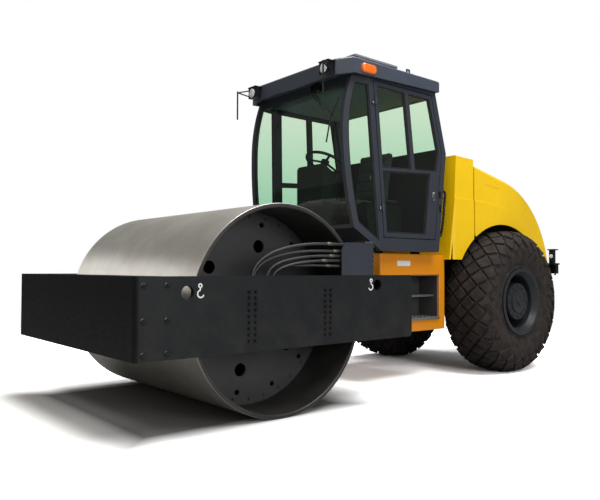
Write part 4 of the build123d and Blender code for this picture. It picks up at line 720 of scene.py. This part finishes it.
def door_fittings(shape, side):
    """Lock plate, push button and key lock at the door's rear edge."""
    for y, z, w, h, out in ((0.474, 1.850, 0.018, 0.030, 0.009), (0.476, 1.800, 0.014, 0.014, 0.013)):
        x, y = side_x(z), HITCH_Y + y
        shape.side_box(side, (x - 0.004, y - w, z - h), (x + out, y + w, z + h), 0.004)
    at = (side * side_x(1.855, 0.010), HITCH_Y + 0.474, 1.862)
    shape.turned(at, (side, 0, 0), [(0, 0.011), (0.006, 0.011), (0.008, 0.009)], 20)


def strikers(shape, side):
    """Black catch plates on the C pillar, behind the lock."""
    for z in (1.86, 1.72):
        low = (side_x(z, -0.001), HITCH_Y + 0.566, z - 0.035)
        shape.side_box(side, low, (side_x(z, 0.010), HITCH_Y + 0.590, z + 0.035), 0.003)


def hinge_bolts(shape, side):
    """Two screws in each hinge, along the door's raked front edge."""
    head = [(-0.001, 0.006), (0.003, 0.006), (0.005, 0.004)]
    for hinge_z in (1.680, 2.659):
        y = HITCH_Y - 0.289 - 0.083 * (hinge_z - CAB_LOW) / CAB_HEIGHT
        for z in (hinge_z - 0.018, hinge_z - 0.006):
            shape.turned((side * side_x(z, 0.008), y, z), (side, 0, 0), head, 12)


def headliner():
    shape = Shape()
    shape.box((-0.655, HITCH_Y - 0.480, 2.838), (0.655, HITCH_Y + 0.500, 2.852), 0.004)
    shape.piece("headliner", "headliner", "rear_frame")


def cab_lining():
    """Black trim on the floor and up the rear wall."""
    shape = Shape()
    shape.box((-0.700, HITCH_Y - 0.262, 1.4003), (0.700, HITCH_Y + 0.445, 1.409), 0.003)
    wall = [(HITCH_Y + y, z) for y, z in ((0.497, 1.413), (0.652, 2.288), (0.641, 2.333))]
    shape.slab(wall + [(y - 0.008, z) for y, z in wall[::-1]], -0.680, 0.680)
    shape.piece("cab_lining", "dark_plastic", "rear_frame")


def console_trim():
    """Armrest pads, panels and switch rows on the two side consoles."""
    shape = Shape()
    y = HITCH_Y
    for x0, x1, top in ((-0.440, -0.290, 1.800), (0.300, 0.420, 1.760)):
        shape.box((x0 + 0.010, y + 0.100, top), (x1 - 0.010, y + 0.390, top + 0.055), 0.018)
        shape.box((x0 + 0.012, y - 0.095, top - 0.002), (x1 - 0.012, y + 0.085, top + 0.012), 0.004)
        for i in range(5):
            front = y - 0.075 + 0.024 * i
            shape.box((x0 + 0.024, front, top + 0.011), (x0 + 0.042, front + 0.016, top + 0.020), 0.003)
    shape.piece("console_trim", "dark_plastic", "rear_frame")


LEVERS = (                    # foot x, y behind the hitch, z; then the knob
    ((-0.360, 0.060, 1.800), (-0.330, 0.085, 1.960)),
    ((0.360, 0.060, 1.760), (0.360, 0.030, 2.010)),
)


def levers():
    """Two control levers, each in a round boot and with a knob."""
    boot = [(0, 0.034), (0.014, 0.030), (0.022, 0.020), (0.032, 0.024), (0.042, 0.014), (0.052, 0.008)]
    knob = [(-0.012, 0.008), (-0.008, 0.016), (0.006, 0.022), (0.024, 0.022), (0.036, 0.014), (0.039, 0.004)]
    sticks, knobs = Shape(), Shape()
    for (x0, y0, z0), (x1, y1, z1) in LEVERS:
        foot, top = Vector((x0, HITCH_Y + y0, z0)), Vector((x1, HITCH_Y + y1, z1))
        way = (top - foot).normalized()
        sticks.turned(foot, way, [*boot, ((top - foot).length, 0.006)], 20)
        knobs.turned(top, way, knob, 20)
    sticks.piece("levers", "black_gloss", "rear_frame")
    knobs.piece("lever_knobs", "hatch_plastic", "rear_frame")


def instruments():
    """Rims and blank faces of three gauges on the dash's sloping face."""
    low, high = Vector((0, HITCH_Y - 0.300, 2.040)), Vector((0, HITCH_Y - 0.470, 2.140))
    along = (high - low).normalized()
    out = Vector((0, along.z, -along.y))
    rims, faces = Shape(), Shape()
    for x, up, r in ((-0.120, 0.085, 0.034), (0.0, 0.095, 0.046), (0.120, 0.085, 0.034)):
        spot = low + Vector((x, 0, 0)) + along * up
        rims.turned(spot, out, [(-0.001, r + 0.006), (0.008, r + 0.006), (0.010, r + 0.003), (0.008, r)], 32)
        faces.turned(spot, out, [(0.0, r), (0.0075, r - 0.001)], 32)
    rims.piece("gauge_rims", "black_gloss", "rear_frame")
    faces.piece("gauge_faces", "hatch_plastic", "rear_frame")


def squared(part):
    """Cosine or sine pushed outwards, which turns a circle into a rounded square."""
    return math.copysign(abs(part) ** 0.4, part)


def seat_boot():
    """Pleated boot between the seat's pedestal and its frame."""
    turns = [math.tau * i / 48 for i in range(48)]
    rings = []
    for k in range(13):
        out = 0.006 if k % 2 else -0.010
        a, b, y, z = 0.185 + out, 0.175 + out, HITCH_Y + 0.190, 1.562 + 0.0064 * k
        rings.append([(a * squared(math.cos(t)), y + b * squared(math.sin(t)), z) for t in turns])
    Shape().loft(rings).piece("seat_boot", "buffer_rubber", "rear_frame", 20)


# ------------------------------------------------------------------ seat pads
FOAM_SHRINK, FOAM_VOXEL, FOAM_PRESSURE, FOAM_STEPS = 0.965, 0.010, 4.0, 20
CHANNEL_HALF = 0.016


def pad(node, name, cap):
    """Foam pad: the CAD solid, remeshed, blown up as cloth and held within cap of its shape."""
    source = NODES[node].data.copy()
    obj = bpy.data.objects.new(name, source)
    bpy.context.scene.collection.objects.link(obj)
    centre = sum((v.co for v in source.vertices), Vector()) / len(source.vertices)
    for v in source.vertices:
        v.co = centre + (v.co - centre) * FOAM_SHRINK
    remesh = obj.modifiers.new("remesh", "REMESH")
    remesh.mode, remesh.voxel_size = "VOXEL", FOAM_VOXEL
    apply_modifiers(obj)
    start = [v.co.copy() for v in obj.data.vertices]
    foam = obj.modifiers.new("foam", "CLOTH")
    foam.settings.use_pressure = True
    foam.settings.uniform_pressure_force = FOAM_PRESSURE
    foam.settings.effector_weights.gravity = 0
    foam.point_cache.frame_start, foam.point_cache.frame_end = 1, FOAM_STEPS
    for step in range(1, FOAM_STEPS + 1):
        bpy.context.scene.frame_set(step)
    apply_modifiers(obj)
    bpy.context.scene.frame_set(1)
    for v, at in zip(obj.data.vertices, start):
        move = v.co - at
        if move.length > cap:
            v.co = at + move.normalized() * cap
    return obj


def apply_modifiers(obj):
    """Puts the mesh that the modifiers make in place of the object's own."""
    bpy.context.view_layer.update()
    shown = obj.evaluated_get(bpy.context.evaluated_depsgraph_get())
    mesh = bpy.data.meshes.new_from_object(shown)
    obj.modifiers.clear()
    obj.data = mesh


def channels(obj, centre, across, out, spots, depth):
    """Presses sewn channels into the side that faces out; spots are distances from centre along across."""
    for vertex in obj.data.vertices:
        p = vertex.co - centre
        if p.dot(out) > 0.01:
            near = min(abs(p.dot(across) - s) for s in spots)
            edge = min(1.0, max(0.0, 1 - near / CHANNEL_HALF))
            vertex.co -= out * depth * edge * edge * (3 - 2 * edge)


def seat():
    """Cushion and backrest, with channels across them and one along each side."""
    lean = math.atan2(0.095, 0.56)
    right, back, top = (Vector(row) for row in Matrix.Identity(3))
    out, up = Vector((0, -math.cos(lean), math.sin(lean))), Vector((0, math.sin(lean), math.cos(lean)))
    for node, name, cap, way, face, rows, side in (
        ("seat_cushion", "cushion", 0.012, back, top, (-0.09, 0.0, 0.09), 0.165),
        ("seat_back", "backrest", 0.014, up, out, (-0.16, -0.05, 0.06, 0.17), 0.155),
    ):
        centre = middle(node)
        foam = pad(node, name, cap)
        channels(foam, centre, way, face, rows, 0.010)
        channels(foam, centre, right, face, (-side, side), 0.012)
        smooth = foam.modifiers.new("smooth", "SUBSURF")
        smooth.levels = smooth.render_levels = 1
        apply_modifiers(foam)
        foam.data.shade_smooth()
        dress(foam, "seat_fabric", "rear_frame")
        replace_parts(foam, node)


# ------------------------------------------------------------------ rear body
WELL_FRONT, WELL_REAR = HITCH_Y + 0.200, HITCH_Y + 0.650
WELL_LOW, WELL_TOP = 0.607, 1.045
WELL_BACK, BOX_X = 0.445, 0.700
TAIL_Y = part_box("tail_lamps")[1].y


def well_painted_shade(shape, side):
    """Dark sheets of painted shade on the back, roof and ends of a step well."""
    t, edge, foot = 0.0025, BOX_X - 0.016, WELL_LOW + 0.024
    for low, high in (
        ((WELL_BACK, WELL_FRONT, WELL_LOW), (WELL_BACK + t, WELL_REAR, WELL_TOP)),
        ((WELL_BACK, WELL_FRONT, WELL_TOP - t), (edge, WELL_REAR, WELL_TOP)),
        ((WELL_BACK, WELL_FRONT, foot), (edge, WELL_FRONT + t, WELL_TOP)),
        ((WELL_BACK, WELL_REAR - t, foot), (edge, WELL_REAR, WELL_TOP)),
    ):
        shape.side_box(side, low, high, 0.0008)


def well_lip(shape, side):
    """Bright trim along the well's edge."""
    x, foot, top = side * (BOX_X + 0.003), WELL_LOW + 0.030, WELL_TOP + 0.006
    front, rear = WELL_FRONT - 0.006, WELL_REAR + 0.006
    shape.tube([(x, front, foot), (x, front, top), (x, rear, top), (x, rear, foot)], 0.005, 8)


def tread_studs(shape, side):
    """Raised grip rows on the lower tread."""
    stud = [(-0.001, 0.008), (0.003, 0.007), (0.0045, 0.004)]
    for i in range(15):
        for k in range(6):
            x = BOX_X - 0.215 + 0.042 * k + (0.021 if i % 2 else 0)
            y = WELL_FRONT + 0.032 + 0.0275 * i
            shape.turned((side * x, y, WELL_LOW + 0.022), (0, 0, 1), stud, 8)


def blank_plate(shape, side):
    """Plain pale plate on a side box."""
    y, z = HITCH_Y + 0.115, 1.165
    shape.side_box(side, (BOX_X - 0.001, y - 0.095, z - 0.026), (BOX_X + 0.003, y + 0.095, z + 0.026), 0.001)


CREASE = (                    # behind the rear axle, z
    (-1.000, 1.845), (-0.900, 1.842), (-0.360, 1.832), (-0.110, 1.806), (0.078, 1.776), (0.271, 1.711),
    (0.472, 1.545), (0.587, 1.431), (0.650, 1.370),
)
BEADS = (                     # part, body, start and end behind the rear axle
    ("cowl", "rear_frame", -0.862, -0.539), ("hood", "hood", -0.517, 0.650),
)


def crease_at(y):
    """Height of the crease at y."""
    for (y0, z0), (y1, z1) in zip(CREASE, CREASE[1:]):
        if y <= y1:
            return z0 + (z1 - z0) * (y - y0) / (y1 - y0)
    return CREASE[-1][1]


def crease_bead(shape, side, start, end):
    """Rolled edge along the crease of the body sides."""
    spots = [start] + [y for y, _ in CREASE if start + 0.02 < y < end - 0.02] + [end]
    route = [(side * 0.8125, TYRE.y + y, crease_at(y) - 0.0035) for y in spots]
    shape.tube(route, 0.0075, 12)


def grille_screen():
    """Dark screen close behind the tail's slots."""
    shape = Shape()
    outline = [(0.955, 1.308), (0.700, 1.745), (0.692, 1.741), (0.947, 1.304)]
    shape.slab([(TYRE.y + y, z) for y, z in outline], -0.450, 0.450)
    for i in range(22):
        x = -0.44 + 0.042 * i
        shape.tube([(x, TYRE.y + 0.958, 1.310), (x, TYRE.y + 0.704, 1.745)], 0.003, 6)
    shape.piece("grille_screen", "black_paint", "hood")


def hatch_lid():
    """Raised lid with a stepped top on the roof hatch."""
    corner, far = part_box("roof_hatch")
    shape = Shape()
    for inset, foot, top, edge in ((-0.008, -0.012, 0.020, 0.008), (0.030, 0.015, 0.030, 0.006)):
        low = (corner.x + inset, corner.y + inset, far.z + foot)
        shape.box(low, (far.x - inset, far.y - inset, far.z + top), edge)
    shape.piece("hatch_lid", "hatch_plastic", "rear_frame")


def roof_lens(shape, side):
    lens = [(-0.002, 0.046), (0.003, 0.046), (0.007, 0.038), (0.009, 0.020)]
    shape.turned((side * 0.550, HITCH_Y - 0.801, 2.922), (0, -1, 0), lens, 28)


def rear_lens(shape, side):
    lens = [(-0.002, 0.024), (0.003, 0.024), (0.006, 0.016)]
    shape.turned((side * 0.7275, TAIL_Y - 0.150, 1.275), (0, -1, 0), lens, 20)


def tail_lens(shape, side):
    y = TAIL_Y - 0.030
    shape.side_box(side, (0.650, y - 0.002, 1.075), (0.698, y + 0.006, 1.155), 0.003)


def cowl_rod(shape, side):
    """Dark rod across the gap between cab and cowl."""
    shape.tube([(side * 0.700, HITCH_Y + y, 1.838) for y in (0.640, 0.760)], 0.007, 10)


# ------------------------------------------------------------------ all pieces
for draw, name, finish, body in (
    (plate_bolts, "plate_bolts", "black_gloss", "drum_frame"),
    (hook_marks, "hook_marks", "white_mark", "drum_frame"),
    # The disc and cradle bolts take black paint made lighter: painted light for the drum's shaded cavity.
    (disc_bolts, "disc_bolts", "black_paint_painted_light", "drum"),
    (cradle_bolts, "cradle_bolts", "black_paint_painted_light", "drum_frame"),
    (buffer_plates, "buffer_plates", "black_paint", "drum_frame"),
    (hinge_bolts, "hinge_bolts", "machined_steel", "rear_frame"),
    (strikers, "strikers", "black_gloss", "rear_frame"),
    # The well's dark sheets are painted shade, in black paint made lighter as painted light.
    (well_painted_shade, "well_painted_shade", "black_paint_painted_light", "rear_frame"),
    (well_lip, "well_lips", "tread_plate", "rear_frame"),
    (tread_studs, "tread_studs", "tread_plate", "rear_frame"),
    (blank_plate, "blank_plates", "white_mark", "rear_frame"),
):
    both_sides(draw).piece(name, finish, body)

for number, (route, length, collar) in enumerate(zip(HOSES, HOSE_LENGTHS, COLLARS), 1):
    hose(number, route, collar)

for side, hand in ((1, "left"), (-1, "right")):
    tyre(side, f"tyre_{hand}_tread", f"tyre_{hand}", f"wheel_{hand}")
    nuts = Shape()
    wheel_bolts(nuts, side)
    nuts.piece(f"wheel_bolts_{hand}", "rim_paint", f"wheel_{hand}")
    side_gaskets(f"door_glass_{hand}", f"door_{hand}", f"door_gaskets_{hand}", side)
    lock = Shape()
    door_fittings(lock, side)
    lock.piece(f"door_lock_{hand}", "machined_steel", f"door_{hand}")
    for part, body, start, end in BEADS:
        bead = Shape()
        crease_bead(bead, side, start, end)
        bead.piece(f"{part}_bead_{hand}", "yellow_paint", body)

for draw, name, body in (
    (pin_bolts, "pin_bolts", "rear_frame"),
    (bearing_bolts, "bearing_bolts", "drum_frame"),
):
    shape = Shape()
    draw(shape)
    shape.piece(name, "black_gloss", body)

for draw in (quarter_gaskets, hatch_lid, headliner, cab_lining, console_trim, levers, instruments,
             seat_boot, seat, grille_screen):
    draw()

for draw, name, finish in (
    (roof_lens, "roof_lamp_lenses", "lamp_lens"),
    (rear_lens, "rear_lamp_lenses", "lamp_lens"),
    (tail_lens, "tail_lenses", "red_lens"),
    (cowl_rod, "cowl_rods", "black_gloss"),
):
    both_sides(draw).piece(name, finish, "rear_frame")


# ------------------------------------------------------------------ stage
WORLD_LIGHT = 0.22
CAMERA_AT = (4.784, -4.6865, 1.1085)
CAMERA_YAW, CAMERA_PITCH, CAMERA_ROLL = math.radians(49.95), math.radians(-1.69), 0.0034


def make_floor():
    """Round floor with a painted shadow under the drum and front beam, over the lamps' own shadow, that
    fades to plain white far from the machine.
    """
    g = Graph("floor")
    flat = g.add("CombineXYZ", {"X": g.axis("X"), "Y": g.axis("Y"), "Z": 0.0}).outputs[0]
    far = g.add("VectorMath", {0: flat}, operation="LENGTH").outputs["Value"]
    fade = g.span(far, 4.2, 8.0)
    ray = g.add("LightPath").outputs
    direct = ray["Is Camera Ray"]
    shown = g.math("MAXIMUM", direct, ray["Is Transmission Ray"])
    # Painted shadow: the floor's colour is darker under the drum and the front beam, both for the camera and
    # for light bouncing off it.
    beside = g.span(g.math("ABSOLUTE", g.axis("X")), 0.9, 1.5)
    beyond = g.span(g.math("ABSOLUTE", g.math("ADD", g.axis("Y"), 1.9)), 0.85, 1.5)
    clear = g.math("MAXIMUM", beside, beyond)         # 0 under the drum, 1 away from it
    lift = g.math("MULTIPLY", direct, g.span(clear, 0, 1, 0.0, 2.6))
    bright = g.math("ADD", lift, g.span(clear, 0, 1, 0.16, 0.4))
    matt = g.add("BsdfDiffuse", {"Color": g.grey(bright)})
    white = g.add("Emission", {"Color": (1, 1, 1, 1), "Strength": 1.0})
    g.blend(g.math("MULTIPLY", fade, shown), matt, white)
    bpy.ops.mesh.primitive_circle_add(vertices=64, radius=60, fill_type="NGON")
    floor = bpy.context.object
    floor.name = "floor"
    floor.data.materials.append(g.material)


def make_world():
    """White where the camera sees it, straight or through glass, and a faint light otherwise."""
    world = bpy.data.worlds.new("studio")
    bpy.context.scene.world = world
    world.use_nodes = True
    nodes, link = world.node_tree.nodes, world.node_tree.links.new
    nodes.clear()
    path, seen = nodes.new("ShaderNodeLightPath"), nodes.new("ShaderNodeMath")
    seen.operation = "MAXIMUM"
    mixed, out = nodes.new("ShaderNodeMixShader"), nodes.new("ShaderNodeOutputWorld")
    link(path.outputs["Is Camera Ray"], seen.inputs[0])
    link(path.outputs["Is Transmission Ray"], seen.inputs[1])
    link(seen.outputs[0], mixed.inputs[0])
    light, white = nodes.new("ShaderNodeBackground"), nodes.new("ShaderNodeBackground")
    light.inputs["Strength"].default_value = WORLD_LIGHT
    white.inputs["Strength"].default_value = 1.0
    white.inputs["Color"].default_value = (1, 1, 1, 1)
    link(light.outputs[0], mixed.inputs[1])
    link(white.outputs[0], mixed.inputs[2])
    link(mixed.outputs[0], out.inputs["Surface"])


def softbox(name, place, target, size, power, colour=(1.0, 1.0, 1.0), only_on=()):
    """Soft lamp at place that faces target, in metres and watts; only_on are the only nodes it lights."""
    data = bpy.data.lights.new(name, "AREA")
    data.shape = "RECTANGLE"
    data.size, data.size_y = size
    data.energy = power
    data.color = colour
    lamp = bpy.data.objects.new(name, data)
    bpy.context.scene.collection.objects.link(lamp)
    if only_on:
        receivers = bpy.data.collections.new(f"{name}_receivers")
        for lit in only_on:
            receivers.objects.link(lit)
        lamp.light_linking.receiver_collection = receivers
    lamp.location = place
    lamp.rotation_euler = (Vector(target) - Vector(place)).to_track_quat("-Z", "Y").to_euler()


def make_camera():
    """Off the front left corner, a little above the side plates, looking a little up."""
    yaw, pitch = CAMERA_YAW, CAMERA_PITCH
    back = Vector((math.sin(yaw) * math.cos(pitch), -math.cos(yaw) * math.cos(pitch), math.sin(pitch)))
    data = bpy.data.cameras.new("camera")
    data.sensor_width, data.lens = 36, 38.3
    camera = bpy.data.objects.new("camera", data)
    bpy.context.scene.collection.objects.link(camera)
    turn = (-back).to_track_quat("-Z", "Y").to_matrix().to_4x4() @ Matrix.Rotation(CAMERA_ROLL, 4, "Z")
    camera.matrix_world = Matrix.Translation(CAMERA_AT) @ turn
    bpy.context.scene.camera = camera


make_floor()
make_world()
softbox("key", (5.5, -0.5, 8.5), (0, 0, 1.2), (4, 4), 450)
softbox("side", (8.6, -1.6, 3.0), (0, -0.8, 0.8), (3.5, 3), 230)
softbox("front", (1.0, -9.0, 5.0), (0, 0, 1.0), (6, 4), 130, (1.0, 0.90, 0.78))
softbox("top", (0, 0.5, 9.0), (0, 0, 0), (6, 7), 700)
softbox("left", (-6.6, -5.3, 2.9), (0, -2.2, 1.0), (3, 2.4), 50, only_on=[NODES["drum_shell"]])
make_camera()
bpy.context.scene.view_settings.view_transform = "Standard"
